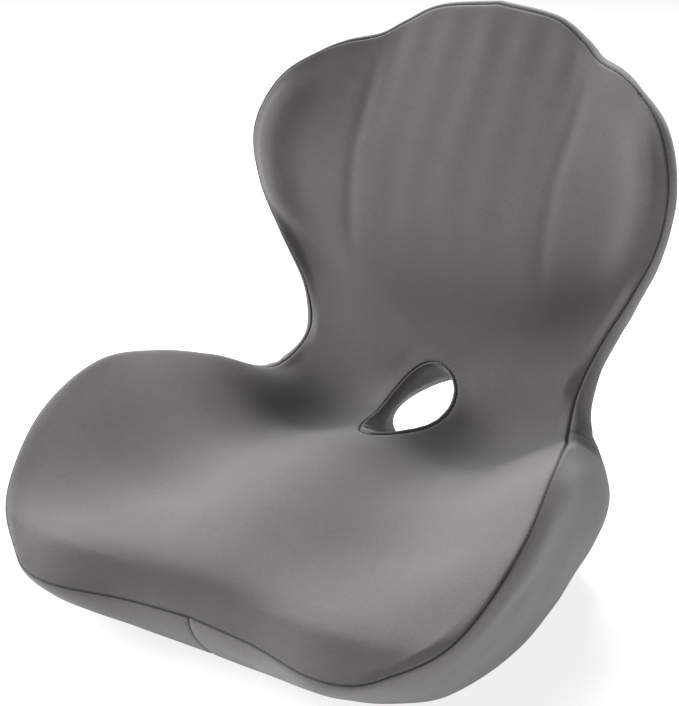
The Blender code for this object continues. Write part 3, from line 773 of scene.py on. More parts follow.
def side_bands(size, finish):
    """The two bands of the seat and the band of the back, which meet at the waist folds."""
    fold = EDGE_STEPS + SIDE_STEPS * FOLD_STATION / STATIONS
    turn = RIM_STEPS
    middle_seam, waist_fold = (0.0010, 0.0016), (0.0030, 0.0045)
    for name, first, last, slants, depths, count, node in (
            ("seat_band_right_cover", 0.0, fold, (0, 1), (middle_seam, waist_fold), 200,
             "seat_band_right"),
            ("seat_band_left_cover", turn - fold, turn, (-1, 0), (waist_fold, middle_seam), 200,
             "seat_band_left"),
            ("back_band_cover", fold, turn - fold, (1, -1), (waist_fold, waist_fold), 380,
             "back_band")):
        ends = [(end, *depth) for end, depth in zip(("first", "last"), depths)]
        points, distance = band_points(first, last, slants, count, 30, size, ends)
        piece = panel(name, points[::-1], distance[::-1], finish)
        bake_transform(piece)
        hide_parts(node)


def over_tapes(points):
    """Lift the rear cloth clear of the zip's tapes."""
    low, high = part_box("zip_tape_lower"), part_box("zip_tape_upper")
    middle = (low[1][2] + high[0][2]) / 2
    half = high[1][2] - middle
    share = ((1 - blend_step(half + 0.001, half + 0.012, np.abs(points[..., 2] - middle)))
             * (1 - blend_step(low[1][0] + 0.001, low[1][0] + 0.014, np.abs(points[..., 0]))))
    points[..., 1] += np.maximum(low[1][1] + 0.0009 - points[..., 1], 0.0) * share
    return points


def rear_points(across, along, size, seams):
    """Points and seam distance of a piece of the rear."""
    points = rear_surface(across, along)
    normals = rear_normal(across, along)
    flat = 1 - blend_step(0.0, 0.004, points[..., 2])
    moved = sampled(made["moved"][1], made["columns"], made["rows"], across, along)
    points = points + moved * (1 - flat)[..., None]
    (low, high), (left, right) = edge_distance(points)
    distance = np.minimum(left, right)
    if "top" in seams:
        distance = np.minimum(distance, high)
    if "front" in seams:
        distance = np.minimum(distance, low)
    height = 0.0007 * ripple(points, 12, 0.08) + 0.0002 * ripple(points, 13, 0.03, 9)
    points = points + normals * (height * (1 - flat) * blend_step(0.0, 0.012, distance))[..., None]
    points = seam_shape(points, normals * (1 - flat)[..., None], distance,
                        rim_step(across, along), False, size)
    for seam, run in (("low", low), ("high", high)):
        if seam in seams:
            points = points - normals * (0.0010 * near(run, 0.0, 0.0016) * (1 - flat))[..., None]
            distance = np.minimum(distance, run)
    return over_tapes(points), distance


def rear_covers(size, finish):
    """The rear below the zip, cut open at the outlet, and the rear above it."""
    zip_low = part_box("zip_tape_lower")
    zip_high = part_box("zip_tape_upper")
    middle = (zip_low[1][2] + zip_high[0][2]) / 2
    rows = np.linspace(0.6, 0.85, 2001)
    heights = rear_surface(np.zeros_like(rows), rows)[:, 2]
    zip_end = zip_low[1][0]

    def zip_edge(across, side):
        """Along at the zip's edge: parted over the zip, meeting beyond its ends."""
        half = float(np.interp(middle, heights, through(REAR_STATIONS, rows)[:, 2]))
        gap = 0.0052 * (1 - blend_step(zip_end - 0.014, zip_end - 0.004, np.abs(across) * half))
        return np.interp(middle + side * np.maximum(gap, 0.0001), heights, rows)

    across, along = grid_places(96, 150, BOTTOM_END, 1.0)
    share = (along - BOTTOM_END) / (1 - BOTTOM_END)
    along = BOTTOM_END + share * (zip_edge(across, -1) - BOTTOM_END)
    turn = np.linspace(0, 2 * math.pi, 240, endpoint=False)
    depth = outlet_depth(turn)
    edge = on_sheet(rear_surface, turn, depth, OUTLET_LIP, OUTLET_GUESS)
    across, along, inside = open_grid(across, along, edge, 1.5)
    points, distance = rear_points(across, along, size, ("low", "high"))
    lower = panel("rear_lower_cover", points[:, ::-1], distance[:, ::-1], finish,
                  inside[:, ::-1])
    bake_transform(lower)
    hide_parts("seat_rear_panel", "back_rear_lower_panel")
    across, along = grid_places(96, 90, 0.0, 1.0)
    above = zip_edge(across, 1)
    along = above + along * (1 - above)
    points, distance = rear_points(across, along, size, ("low", "top"))
    upper = panel("rear_upper_cover", points[:, ::-1], distance[:, ::-1], finish)
    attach(upper, "back")
    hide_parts("back_rear_upper_panel")


def bottom_cover(size, finish, dot_finish):
    """The fabric under the seat, with its grip dots where it lies flat."""
    across, along = grid_places(80, 90, 0.0, BOTTOM_END)
    points, distance = rear_points(across, along, size, ("front", "high"))
    points[..., 2] = np.maximum(points[..., 2], 0.0007)
    base = panel("bottom_cover", points[:, ::-1], distance[:, ::-1], finish)
    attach(base, "seat")
    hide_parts("bottom_grip_panel")
    low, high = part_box("bottom_grip_panel")
    dots = bmesh.new()
    pitch = size.dot_pitch
    tree = BVHTree.FromPolygons([Vector(p) for p in points.reshape(-1, 3)],
                                grid_quads(points.shape[0], points.shape[1]))
    for row in range(int((high[1] - low[1]) / (pitch * 0.866)) + 1):
        for column in range(int((high[0] - low[0]) / pitch) + 2):
            x = low[0] + (column + 0.5 * (row % 2)) * pitch
            y = low[1] + row * pitch * 0.866
            hits = [tree.ray_cast(Vector((x + dx, y + dy, -1)), Vector((0, 0, 1)))[0]
                    for dx, dy in ((0.008, 0), (-0.008, 0), (0, 0.008), (0, -0.008))]
            if None in hits or max(hit.z for hit in hits) > 0.0009:
                continue
            new = bmesh.ops.create_icosphere(dots, subdivisions=1, radius=0.0016)["verts"]
            bmesh.ops.scale(dots, vec=(1, 1, 0.5), verts=new)
            bmesh.ops.translate(dots, vec=(x, y, 0.0008), verts=new)
    piece = cloth_object("grip_dots", dots, dot_finish, thick=0.0)
    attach(piece, "seat")


def grid_quads(rows, columns):
    """Corner numbers of a grid's cells."""
    start = (np.arange(rows - 1)[:, None] * columns + np.arange(columns - 1)).ravel()
    return np.stack([start, start + 1, start + columns + 1, start + columns], 1).tolist()


def ring_tube(rings):
    """A tube through rings of points, made by drawing its edge on from ring to ring."""
    count = len(rings[0])
    tube = bmesh.new()
    layout = tube.loops.layers.uv.new("cloth")
    seam_layer = tube.verts.layers.float.new("seam")
    travel_layer = tube.verts.layers.float_vector.new("flat")
    ring = bmesh.ops.create_circle(tube, segments=count, radius=1.0)["verts"]
    edges = tube.edges[:]
    spot = [int(round(math.atan2(vert.co.y, vert.co.x) / (2 * math.pi) * count)) % count
            for vert in ring]
    layers = [ring]
    for _ in rings[1:]:
        grown = bmesh.ops.extrude_edge_only(tube, edges=edges)["geom"]
        edges = [item for item in grown if isinstance(item, bmesh.types.BMEdge)]
        ring = [item for item in grown if isinstance(item, bmesh.types.BMVert)]
        layers.append(ring)
    round_it = np.linalg.norm(np.roll(rings[0], -1, 0) - rings[0], axis=1).mean() * count
    travelled = [np.zeros(count)]
    for before, points in zip(rings, rings[1:]):
        travelled.append(travelled[-1] + np.linalg.norm(points - before, axis=1))
    for points, layer, run in zip(rings, layers, travelled):
        for vert, number in zip(layer, spot):
            vert.co = Vector(points[number])
            vert[seam_layer] = min(run[number], travelled[-1][number] - run[number])
            vert[travel_layer] = Vector((number / count * round_it, run[number], 0))
    for face in tube.faces:
        widest = max(loop.vert[travel_layer].x for loop in face.loops)
        for loop in face.loops:
            flat = loop.vert[travel_layer]
            wrapped = flat.x + round_it if widest - flat.x > round_it / 2 else flat.x
            loop[layout].uv = (wrapped, flat.y)
    tube.verts.layers.float_vector.remove(travel_layer)
    bmesh.ops.recalc_face_normals(tube, faces=tube.faces)
    return tube


def opening_lining(finish):
    """The lining: rolled over the mouth's rim, down the wall and out over the outlet's rim."""
    count = 144
    turn = np.arange(count) / count * 2 * math.pi
    centre, down, long_way, square = opening_axes()
    seam_place = mouth_places(turn, MOUTH_LIP)
    seam = face_surface(*seam_place)
    seam_normal = face_normal(*seam_place)
    lip = face_surface(*mouth_places(turn, 0.0))
    lip_depth = (lip - centre - long_way * (OPENING_HALF_LENGTH * np.sin(turn))[:, None]) @ down
    end_depth = outlet_depth(turn)
    outlet = opening_wall(turn, end_depth)
    foot_place = on_sheet(rear_surface, turn, end_depth, OUTLET_LIP, OUTLET_GUESS)
    foot = rear_surface(*foot_place)
    foot_normal = rear_normal(*foot_place)
    chance = np.random.default_rng(21)
    gathers = sum(chance.uniform(0.4, 1.0) * np.sin(number * turn + chance.uniform(0, 6.3))
                  for number in (7, 11, 16, 23, 31)) / 3
    rings = []
    sink = 0.0011
    entry = lip_depth + 0.010
    start = opening_wall(turn, entry)
    for share in (0.0, 0.04, 0.09, 0.15, 0.23, 0.32, 0.42, 0.53, 0.65, 0.78, 0.90):
        curve = ((1 - share) ** 2 * seam + 2 * share * (1 - share) * (lip + seam_normal * 0.0006)
                 + share ** 2 * start)
        crown = 0.0009 * math.sin(math.pi * min(share * 2, 1.0)) - sink * math.exp(
            -(share / 0.07) ** 2)
        curve = curve + seam_normal * crown
        curve = curve - seam_normal * (0.0006 * gathers * math.sin(math.pi * share))[:, None]
        rings.append(curve)
    way_out = unit(np.stack([np.cos(turn), 0 * turn, 0 * turn], -1)
                   + square * (np.sin(turn))[:, None])
    leave = end_depth - 0.008
    for share in np.linspace(0, 1, 16):
        depth = entry + (leave - entry) * share
        wall = opening_wall(turn, depth)
        fold = 0.0011 * gathers * math.sin(math.pi * min(share + 0.12, 1.0))
        rings.append(wall - way_out * (0.0004 + np.abs(fold) * 0.8)[:, None]
                     + way_out * 0.0004)
    last = rings[-1]
    for share in (0.12, 0.28, 0.46, 0.64, 0.82, 1.0):
        curve = ((1 - share) ** 2 * last + 2 * share * (1 - share) * outlet
                 + share ** 2 * (foot - foot_normal * 0.0010))
        rings.append(curve)
    tube = ring_tube(rings)
    facing = sum(face.normal.dot(face.calc_center_median() - Vector(centre)) > 0
                 for face in tube.faces)
    if facing > len(tube.faces) / 2:
        bmesh.ops.reverse_faces(tube, faces=tube.faces)
    piece = cloth_object("opening_lining", tube, finish, thick=0.0014)
    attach(piece, "seat")
    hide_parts("opening_sleeve")
    made["mouth_seam"] = (seam, seam_normal, unit(seam - lip))


FOAM_GAP = 0.0045           # the foam lies this far under its packed skin
FOAM_GAP_OPENING = 0.0075   # and this far beside the tailbone opening,
FOAM_NEAR_OPENING = 1.3     # out to this share of the opening's section
FOAM_UNDER_FACE = 0.0050    # and always this far under the shaped face panel
FOAM_REACH = 0.03


def foam_bodies(finish):
    """The two blocks of foam, drawn in under the cover, with their open skin."""
    tree = BVHTree.FromPolygons([vert.co for vert in made["face"].data.vertices],
                                [face.vertices for face in made["face"].data.polygons])
    centre, down, _, _ = opening_axes()
    to_frame = Vector((0.0, FRAME_SHIFT, 0.0))
    for node, body in (("seat_foam_core", "seat"), ("back_foam_core", "back")):
        foam = bmesh.new()
        foam.from_mesh(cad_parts[node].data)
        bmesh.ops.remove_doubles(foam, verts=foam.verts, dist=0.00001)
        foam.normal_update()
        start = np.array([vert.co for vert in foam.verts])
        share, _ = opening_share(start, (start - centre) @ down, 0.0)
        normals = [vert.normal.copy() for vert in foam.verts]
        for vert, normal, close in zip(foam.verts, normals, share < FOAM_NEAR_OPENING):
            vert.co -= normal * (FOAM_GAP_OPENING if close else FOAM_GAP)
            vert.co = Vector(rounded(np.array(vert.co - to_frame))) + to_frame
            spot, out, _, _ = tree.find_nearest(vert.co, FOAM_REACH)
            if spot is not None:
                depth = (vert.co - spot).dot(out)
                vert.co -= out * max(depth + FOAM_UNDER_FACE, 0.0)
        piece = cloth_object(node.replace("core", "body"), foam, finish, thick=0.0)
        piece.data.set_sharp_from_angle(angle=math.radians(35))
        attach(piece, body)
        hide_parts(node)


# ------------------------------------------------------------- stitches

def add_stitch(thread, place, along_it, out, length, thick):
    """One short stitch, lying along its row and half sunk in the cloth."""
    new = bmesh.ops.create_icosphere(thread, subdivisions=1, radius=0.5)["verts"]
    along_it = along_it.normalized()
    side = out.cross(along_it).normalized()
    out = along_it.cross(side)
    for vert in new:
        shape = vert.co
        vert.co = (place + along_it * (shape.x * length) + side * (shape.y * thick)
                   + out * (shape.z * thick))


def stitch_row(thread, line, normals, size):
    """Stitches at an even pitch round a closed line of points."""
    ends = np.vstack([line, line[:1]])
    length = np.linalg.norm(np.diff(ends, axis=0), axis=1)
    total = np.concatenate([[0], np.cumsum(length)])
    ways = np.vstack([normals, normals[:1]])
    for at in np.arange(size.stitch_pitch / 2, total[-1], size.stitch_pitch):
        point = np.array([np.interp(at, total, ends[:, k]) for k in range(3)])
        ahead = np.array([np.interp(min(at + 0.001, total[-1]), total, ends[:, k])
                          for k in range(3)])
        behind = np.array([np.interp(max(at - 0.001, 0), total, ends[:, k]) for k in range(3)])
        out = np.array([np.interp(at, total, ways[:, k]) for k in range(3)])
        add_stitch(thread, Vector(point), Vector(ahead - behind), Vector(out),
                   size.stitch_length, size.stitch_thick)


def face_ring(distance_in, step):
    """Line on the face a little in from its seam, with the way out there."""
    tree = BVHTree.FromObject(made["face"], bpy.context.evaluated_depsgraph_get())
    across, along = rim_place(step)
    seam = face_surface(across, along)
    normal = face_normal(across, along)
    into = unit(np.cross(normal, face_surface(*rim_place(step + 0.3))
                         - face_surface(*rim_place(step - 0.3))))
    aim = seam - into * distance_in
    line, out = [], []
    for point, way in zip(aim, normal):
        hit = tree.find_nearest(Vector(point))
        line.append(hit[0])
        out.append(hit[1] if hit[1].dot(Vector(way)) > 0 else Vector(way))
    return np.array(line), np.array(out)


def seam_stitches(size, finish):
    """The rows of stitches beside the face seam and round the mouth."""
    step = np.linspace(0, RIM_STEPS, 900, endpoint=False)
    thread = bmesh.new()
    line, out = face_ring(0.0013, step)
    stitch_row(thread, line, out, size)
    piece = cloth_object("face_seam_stitches", thread, finish, thick=0.0)
    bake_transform(piece)
    seam, normal, outward = made["mouth_seam"]
    tree = BVHTree.FromObject(made["face"], bpy.context.evaluated_depsgraph_get())
    aim = seam + outward * 0.0012
    hits = [tree.find_nearest(Vector(point)) for point in aim]
    thread = bmesh.new()
    stitch_row(thread, np.array([hit[0] for hit in hits]), normal, size)
    ring = cloth_object("opening_stitches", thread, finish, thick=0.0)
    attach(ring, "seat")


# ------------------------------------------------------------- zip

def zip_parts(tape_finish, coil_finish, metal_finish):
    """The coils' teeth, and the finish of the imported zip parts."""
    for side, name in ((-1, "lower"), (1, "upper")):
        low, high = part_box("zip_coil_" + name)
        coil = bmesh.new()
        pitch = 0.0015
        turns = int((high[0] - low[0]) / pitch)
        centre_y = (low[1] + high[1]) / 2
        centre_z = (low[2] + high[2]) / 2
        for number in range(turns):
            x = low[0] + (number + 0.5 + 0.25 * side) * pitch
            new = bmesh.ops.create_cone(coil, cap_ends=True, segments=8, radius1=0.0005,
                                        radius2=0.00042, depth=high[2] - low[2])["verts"]
            bmesh.ops.scale(coil, vec=(0.9, 1.5, 1.0), verts=new)
            bmesh.ops.translate(coil, vec=(x, centre_y + 0.00005, centre_z - side * 0.0001),
                                verts=new)
        core = bmesh.ops.create_cone(coil, cap_ends=True, segments=8, radius1=0.0005,
                                     radius2=0.0005, depth=high[0] - low[0])["verts"]
        for vert in core:
            vert.co = Vector((vert.co.z, vert.co.x, vert.co.y))
        bmesh.ops.translate(coil, vec=((low[0] + high[0]) / 2, centre_y, centre_z
                                       + side * 0.0004), verts=core)
        bmesh.ops.recalc_face_normals(coil, faces=coil.faces)
        piece = cloth_object("zip_teeth_" + name, coil, coil_finish, thick=0.0)
        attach(piece, "back")
        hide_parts("zip_coil_" + name)
    for node in ("zip_tape_lower", "zip_tape_upper"):
        dress(node, tape_finish)
    for node in ("zip_slider", "zip_pull", "zip_stop_left", "zip_stop_right"):
        dress(node, metal_finish)


def dress(node, finish):
    """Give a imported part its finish."""
    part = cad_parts[node]
    part.data.materials.clear()
    part.data.materials.append(finish)


# ------------------------------------------------------------- finishes

class Wire:
    """A socket's value in a finish, which takes part in sums."""

    def __init__(self, finish, socket):
        self.finish = finish
        self.socket = socket

    def __add__(self, other):
        return self.finish.maths("ADD", self, other)

    __radd__ = __add__

    def __sub__(self, other):
        return self.finish.maths("SUBTRACT", self, other)

    def __rsub__(self, other):
        return self.finish.maths("SUBTRACT", other, self)

    def __mul__(self, other):
        return self.finish.maths("MULTIPLY", self, other)

    __rmul__ = __mul__

    def __truediv__(self, other):
        return self.finish.maths("DIVIDE", self, other)


class Finish:
    """One material and the nodes that make it."""

    def __init__(self, name, **fixed):
        self.material = bpy.data.materials.new(name)
        self.material.use_nodes = True
        self.tree = self.material.node_tree
        self.shader = self.tree.nodes["Principled BSDF"]
        for socket, value in fixed.items():
            self.shader.inputs[socket.replace("_", " ")].default_value = value

    def node(self, kind, settings=None, values=None):
        """Add a node, with its settings first and then the values or links of its sockets."""
        new = self.tree.nodes.new(kind)
        for name, value in (settings or {}).items():
            setattr(new, name, value)
        for socket, value in (values or {}).items():
            self.feed(new.inputs[socket], value)
        return new

    def feed(self, socket, value):
        if isinstance(value, Wire):
            self.tree.links.new(value.socket, socket)
        else:
            socket.default_value = value

    def wire(self, node, output=0):
        return Wire(self, node.outputs[output])

    def maths(self, operation, *values):
        return self.wire(self.node("ShaderNodeMath", {"operation": operation},
                                   dict(enumerate(values))))

    def limited(self, value, low=0.0, high=1.0):
        return self.wire(self.node("ShaderNodeClamp", None,
                                   {"Value": value, "Min": low, "Max": high}))

    def place(self):
        return self.wire(self.node("ShaderNodeTexCoord"), "Object")

    def cloth_place(self):
        return self.wire(self.node("ShaderNodeUVMap", {"uv_map": "cloth"}), "UV")

    def attribute(self, name):
        return self.wire(self.node("ShaderNodeAttribute", {"attribute_name": name}), "Fac")

    def noise(self, where, scale, detail=2.0, roughness=0.5):
        return self.wire(self.node("ShaderNodeTexNoise", None, {
            "Vector": where, "Scale": scale, "Detail": detail, "Roughness": roughness}), "Fac")

    def parts(self, where):
        split = self.node("ShaderNodeSeparateXYZ", None, {"Vector": where})
        return self.wire(split, "X"), self.wire(split, "Y"), self.wire(split, "Z")

    def blend(self, share, first, second):
        mix = self.node("ShaderNodeMix", {"data_type": "RGBA"}, {0: share, 6: first, 7: second})
        return self.wire(mix, 2)

    def bump(self, height, strength, distance):
        bump = self.node("ShaderNodeBump", None, {
            "Height": height, "Strength": strength, "Distance": distance})
        self.feed(self.shader.inputs["Normal"], self.wire(bump, "Normal"))

    def paint(self, **sockets):
        for name, value in sockets.items():
            self.feed(self.shader.inputs[name.replace("_", " ")], value)
        return self.material


def shade(colour, factor):
    """A colour made lighter or darker, opaque."""
    return (colour[0] * factor, colour[1] * factor, colour[2] * factor, 1.0)


def knit_finish(name, colour, pitch, pile_and_painted_shade, sheen):
    """Short-pile knit: wales and courses along the cloth, brushed pile and painted shade."""
    finish = Finish(name, Sheen_Weight=sheen, Sheen_Roughness=0.45,
                    Specular_IOR_Level=0.25)
    finish.shader.inputs["Sheen Tint"].default_value = (0.9, 0.92, 0.95, 1.0)
    place = finish.place()
    across, along, _ = finish.parts(finish.cloth_place())
    wale = finish.maths("SINE", across * (2 * math.pi / pitch))
    wale_height = wale * wale
    course = finish.maths("SINE", along * (2 * math.pi / (pitch * 0.8))
                          + finish.maths("ABSOLUTE", wale) * 1.6) * 0.5 + 0.5
    fuzz = finish.noise(place, 1400.0, 3.0, 0.6)
    broad = finish.noise(place, 11.0, 3.0, 0.55)
    brushed = finish.noise(place, 55.0, 4.0, 0.6)
    seam = finish.limited(finish.attribute("seam") / 0.0016)
    knit = wale_height * 0.45 + course * 0.25
    grain = finish.noise(place, 460.0, 2.0, 0.5)
    tone = finish.limited(broad * 0.45 + brushed * 0.40 + grain * 0.60 + fuzz * 0.25
                          + knit * 0.04 - 0.37)
    cloth = finish.blend(tone, shade(colour, 0.76), shade(colour, 1.24))
    # Painted shade: darker colour where the panel's painted shade attribute is set
    cloth_with_painted_shade = finish.blend(finish.limited(finish.attribute("pile_and_painted_shade")), cloth,
                                shade(colour, 0.62))
    # Painted shade in the seam grooves: 0.40 of the colour on a seam, full colour 1.6 mm away
    cloth_with_painted_seam_shade = finish.blend(seam, shade(colour, 0.40), cloth_with_painted_shade)
    finish.bump(knit * 0.14 + fuzz * pile_and_painted_shade + grain * 0.5, 0.45, 0.0004)
    return finish.paint(Base_Color=cloth_with_painted_seam_shade, Roughness=finish.limited(0.80 + brushed * 0.22))


def grip_finish(name, colour):
    finish = Finish(name, Specular_IOR_Level=0.3)
    place = finish.place()
    across, along, _ = finish.parts(finish.cloth_place())
    weave = (finish.maths("SINE", across * 4200.0) * finish.maths("SINE", along * 4200.0)) * 0.5
    broad = finish.noise(place, 20.0, 3.0)
    cloth = finish.blend(finish.limited(broad * 0.8 + weave * 0.4), shade(colour, 0.8),
                         shade(colour, 1.25))
    finish.bump(weave, 0.5, 0.0003)
    return finish.paint(Base_Color=cloth, Roughness=finish.limited(broad * 0.2 + 0.8))


def rubber_finish(name, colour):
    finish = Finish(name, Specular_IOR_Level=0.4)
    grain = finish.noise(finish.place(), 500.0, 2.0)
    finish.bump(grain, 0.2, 0.0002)
    return finish.paint(Base_Color=finish.blend(grain, shade(colour, 0.8), shade(colour, 1.2)),
                        Roughness=finish.limited(grain * 0.3 + 0.45))


def thread_finish(name, colour):
    finish = Finish(name, Sheen_Weight=0.2, Specular_IOR_Level=0.3)
    twist = finish.noise(finish.place(), 2600.0, 1.0)
    finish.bump(twist, 0.4, 0.0002)
    return finish.paint(Base_Color=finish.blend(twist, shade(colour, 0.7), shade(colour, 1.2)),
                        Roughness=finish.limited(twist * 0.3 + 0.6))


def foam_finish(name, colour):
    finish = Finish(name, Specular_IOR_Level=0.2)
    cells = finish.noise(finish.place(), 900.0, 3.0, 0.7)
    broad = finish.noise(finish.place(), 14.0, 2.0)
    finish.bump(cells, 0.6, 0.0006)
    tone = finish.limited(cells * 0.5 + broad * 0.5)
    return finish.paint(Base_Color=finish.blend(tone, shade(colour, 0.8), shade(colour, 1.05)),
                        Roughness=finish.limited(cells * 0.2 + 0.8))


def tape_finish(name, colour):
    """Woven tape: fine ribs along the zip."""
    finish = Finish(name, Specular_IOR_Level=0.25)
    across, _, up = finish.parts(finish.place())
    ribs = finish.maths("SINE", across * (2 * math.pi / 0.0007))
    lines = finish.maths("SINE", up * (2 * math.pi / 0.0011))
    weave = ribs * lines * 0.5 + 0.5
    wear = finish.noise(finish.place(), 60.0, 3.0)
    finish.bump(weave, 0.6, 0.0003)
    return finish.paint(
        Base_Color=finish.blend(finish.limited(weave * 0.5 + wear * 0.5), shade(colour, 0.7),
                                shade(colour, 1.3)),
        Roughness=finish.limited(wear * 0.2 + 0.75))


def nylon_finish(name, colour):
    finish = Finish(name, Specular_IOR_Level=0.5)
    wear = finish.noise(finish.place(), 180.0, 3.0)
    return finish.paint(Base_Color=finish.blend(wear, shade(colour, 0.7), shade(colour, 1.35)),
                        Roughness=finish.limited(wear * 0.3 + 0.3))


def metal_finish(name, colour):
    """Dark plated metal, with scuffs where fingers hold it."""
    finish = Finish(name, Metallic=1.0)
    scuff = finish.noise(finish.place(), 420.0, 4.0, 0.7)
    broad = finish.noise(finish.place(), 90.0, 2.0)
    finish.bump(scuff, 0.15, 0.0001)
    return finish.paint(
        Base_Color=finish.blend(finish.limited(scuff * 0.6 + broad * 0.5 - 0.1),
                                shade(colour, 0.75), shade(colour, 1.35)),
        Roughness=finish.limited(scuff * 0.35 + 0.18))


def floor_finish(name, colour):
    finish = Finish(name, Specular_IOR_Level=0.1, Emission_Strength=0.78)
    finish.shader.inputs["Emission Color"].default_value = (1.0, 1.0, 1.0, 1.0)
    grain = finish.noise(finish.place(), 3.0, 2.0)
    return finish.paint(Base_Color=finish.blend(grain, shade(colour, 0.99), shade(colour, 1.0)),
                        Roughness=finish.limited(grain * 0.1 + 0.85))


# ------------------------------------------------------------- stage

CAMERA_AZIMUTH = math.radians(34.067)
CAMERA_ELEVATION = math.radians(20.441)
CAMERA_DISTANCE = 1.313
CAMERA_LENS = 85.43
CAMERA_TARGET = (0.001, -0.0261, 0.190)


def area_light(name, place, target, width, power, colour):
    """A soft square light that faces a point."""
    lamp = bpy.data.lights.new(name, "AREA")
    lamp.shape = "SQUARE"
    lamp.size = width
    lamp.energy = power
    lamp.color = colour
    holder = bpy.data.objects.new(name, lamp)
    holder.location = place
    holder.rotation_mode = "QUATERNION"
    holder.rotation_quaternion = (Vector(target) - Vector(place)).to_track_quat("-Z", "Y")
    bpy.context.scene.collection.objects.link(holder)


def build_stage(look):
    """The floor, the world's light, three lamps and the camera."""
    scene = bpy.context.scene
    floor = bmesh.new()
    bmesh.ops.create_grid(floor, x_segments=4, y_segments=4, size=8.0)
    piece = cloth_object("floor", floor, floor_finish("pale_floor", look.floor_colour), thick=0.0)
    world = bpy.data.worlds.new("studio")
    world.use_nodes = True
    sky = world.node_tree.nodes["Background"]
    sky.inputs["Color"].default_value = (1.0, 1.0, 1.0, 1.0)
    sky.inputs["Strength"].default_value = look.room_light
    scene.world = world
    target = (0.0, 0.0, 0.18)
    area_light("key_light", (-0.6, 1.4, 1.9), target, 0.9, look.key_power, (1.0, 0.99, 0.98))
    area_light("side_light", (-2.2, -0.7, 1.0), target, 1.2, look.side_power, (1.0, 1.0, 1.0))
    area_light("fill_light", (2.0, -0.8, 0.6), target, 1.4, look.fill_power, (0.98, 0.99, 1.0))
    camera_data = bpy.data.cameras.new("camera")
    camera_data.lens = CAMERA_LENS
    camera = bpy.data.objects.new("camera", camera_data)
    away = Vector((math.sin(CAMERA_AZIMUTH) * math.cos(CAMERA_ELEVATION),
                   -math.cos(CAMERA_AZIMUTH) * math.cos(CAMERA_ELEVATION),
                   math.sin(CAMERA_ELEVATION)))
    camera.location = Vector(CAMERA_TARGET) + away * CAMERA_DISTANCE
    camera.rotation_mode = "QUATERNION"
    camera.rotation_quaternion = (-away).to_track_quat("-Z", "Y")
    scene.collection.objects.link(camera)
    scene.camera = camera
    scene.view_settings.view_transform = "Standard"


# ------------------------------------------------------------- add-on

class CushionCloth(bpy.types.PropertyGroup):
    """Sizes and colours of the sewn cover."""
    face_colour: FloatVectorProperty(
        name="Face colour", description="Cloth on the side that the body touches",
        default=(0.130, 0.126, 0.121), subtype="COLOR", min=0.0, max=1.0)
    band_colour: FloatVectorProperty(
        name="Band colour", description="Cloth of the side bands and the rear",
        default=(0.156, 0.152, 0.147), subtype="COLOR", min=0.0, max=1.0)
    grip_colour: FloatVectorProperty(
        name="Bottom colour", description="Cloth under the seat",
        default=(0.045, 0.044, 0.043), subtype="COLOR", min=0.0, max=1.0)
    thread_colour: FloatVectorProperty(
        name="Thread colour", description="Sewing thread of the visible stitches",
        default=(0.032, 0.031, 0.030), subtype="COLOR", min=0.0, max=1.0)
    foam_colour: FloatVectorProperty(
        name="Foam colour", description="Moulded foam inside the cover",
        default=(0.72, 0.66, 0.48), subtype="COLOR", min=0.0, max=1.0)
    knit_pitch: FloatProperty(
        name="Knit pitch", description="Distance from wale to wale of the cloth",
        default=0.0011, min=0.0003, max=0.01, unit="LENGTH", precision=5)
    seam_depth: FloatProperty(
        name="Seam depth", description="How far each seam draws the cloth in",
        default=0.0012, min=0.0, max=0.005, unit="LENGTH", precision=5)
    stitch_pitch: FloatProperty(
        name="Stitch pitch", description="Distance from stitch to stitch",
        default=0.0044, min=0.001, max=0.02, unit="LENGTH", precision=5)
    stitch_length: FloatProperty(
        name="Stitch length", description="Length of one stitch",
        default=0.0027, min=0.0005, max=0.02, unit="LENGTH", precision=5)
    stitch_thick: FloatProperty(
        name="Thread thickness", description="Thickness of the sewing thread",
        default=0.0007, min=0.0001, max=0.003, unit="LENGTH", precision=5)
    dot_pitch: FloatProperty(
        name="Grip dot pitch", description="Distance between the grip dots under the seat",
        default=0.0110, min=0.004, max=0.05, unit="LENGTH", precision=5)
    pressure: FloatProperty(
        name="Filling pressure", description="How hard the foam pushes the cover out",
        default=4.0, min=0.0, max=20.0)
    swell_limit: FloatProperty(
        name="Swell limit", description="The furthest that the cloth may move when it swells",
        default=0.006, min=0.0, max=0.03, unit="LENGTH", precision=4)


class CushionZip(bpy.types.PropertyGroup):
    """Colours of the zip."""
    tape_colour: FloatVectorProperty(
        name="Tape colour", description="Woven tapes", default=(0.110, 0.106, 0.101),
        subtype="COLOR", min=0.0, max=1.0)
    coil_colour: FloatVectorProperty(
        name="Coil colour", description="Nylon coils", default=(0.070, 0.068, 0.066),
        subtype="COLOR", min=0.0, max=1.0)
    metal_colour: FloatVectorProperty(
        name="Metal colour", description="Slider, pull and stops", default=(0.36, 0.36, 0.37),
        subtype="COLOR", min=0.0, max=1.0)


class CushionStage(bpy.types.PropertyGroup):
    """Floor and lights."""
    floor_colour: FloatVectorProperty(
        name="Floor colour", description="Plain pale floor", default=(0.38, 0.38, 0.38),
        subtype="COLOR", min=0.0, max=1.0)
    room_light: FloatProperty(
        name="Room light", description="Light from all round", default=0.15, min=0.0, max=5.0)
    key_power: FloatProperty(
        name="Key power", description="Large soft light above and to the left",
        default=104.0, min=0.0, max=1000.0, unit="POWER")
    side_power: FloatProperty(
        name="Side power", description="Low soft light on the left",
        default=90.0, min=0.0, max=1000.0, unit="POWER")
    fill_power: FloatProperty(
        name="Fill power", description="Weak soft light on the right",
        default=11.0, min=0.0, max=1000.0, unit="POWER")


class CUSHION_OT_swell(bpy.types.Operator):
    """Swell the closed cover over its foam by cloth simulation"""
    bl_idname = "cushion.swell"
    bl_label = "Swell the cover"

    def execute(self, context):
        swell_cover(context.scene.cushion_cloth)
        return {"FINISHED"}


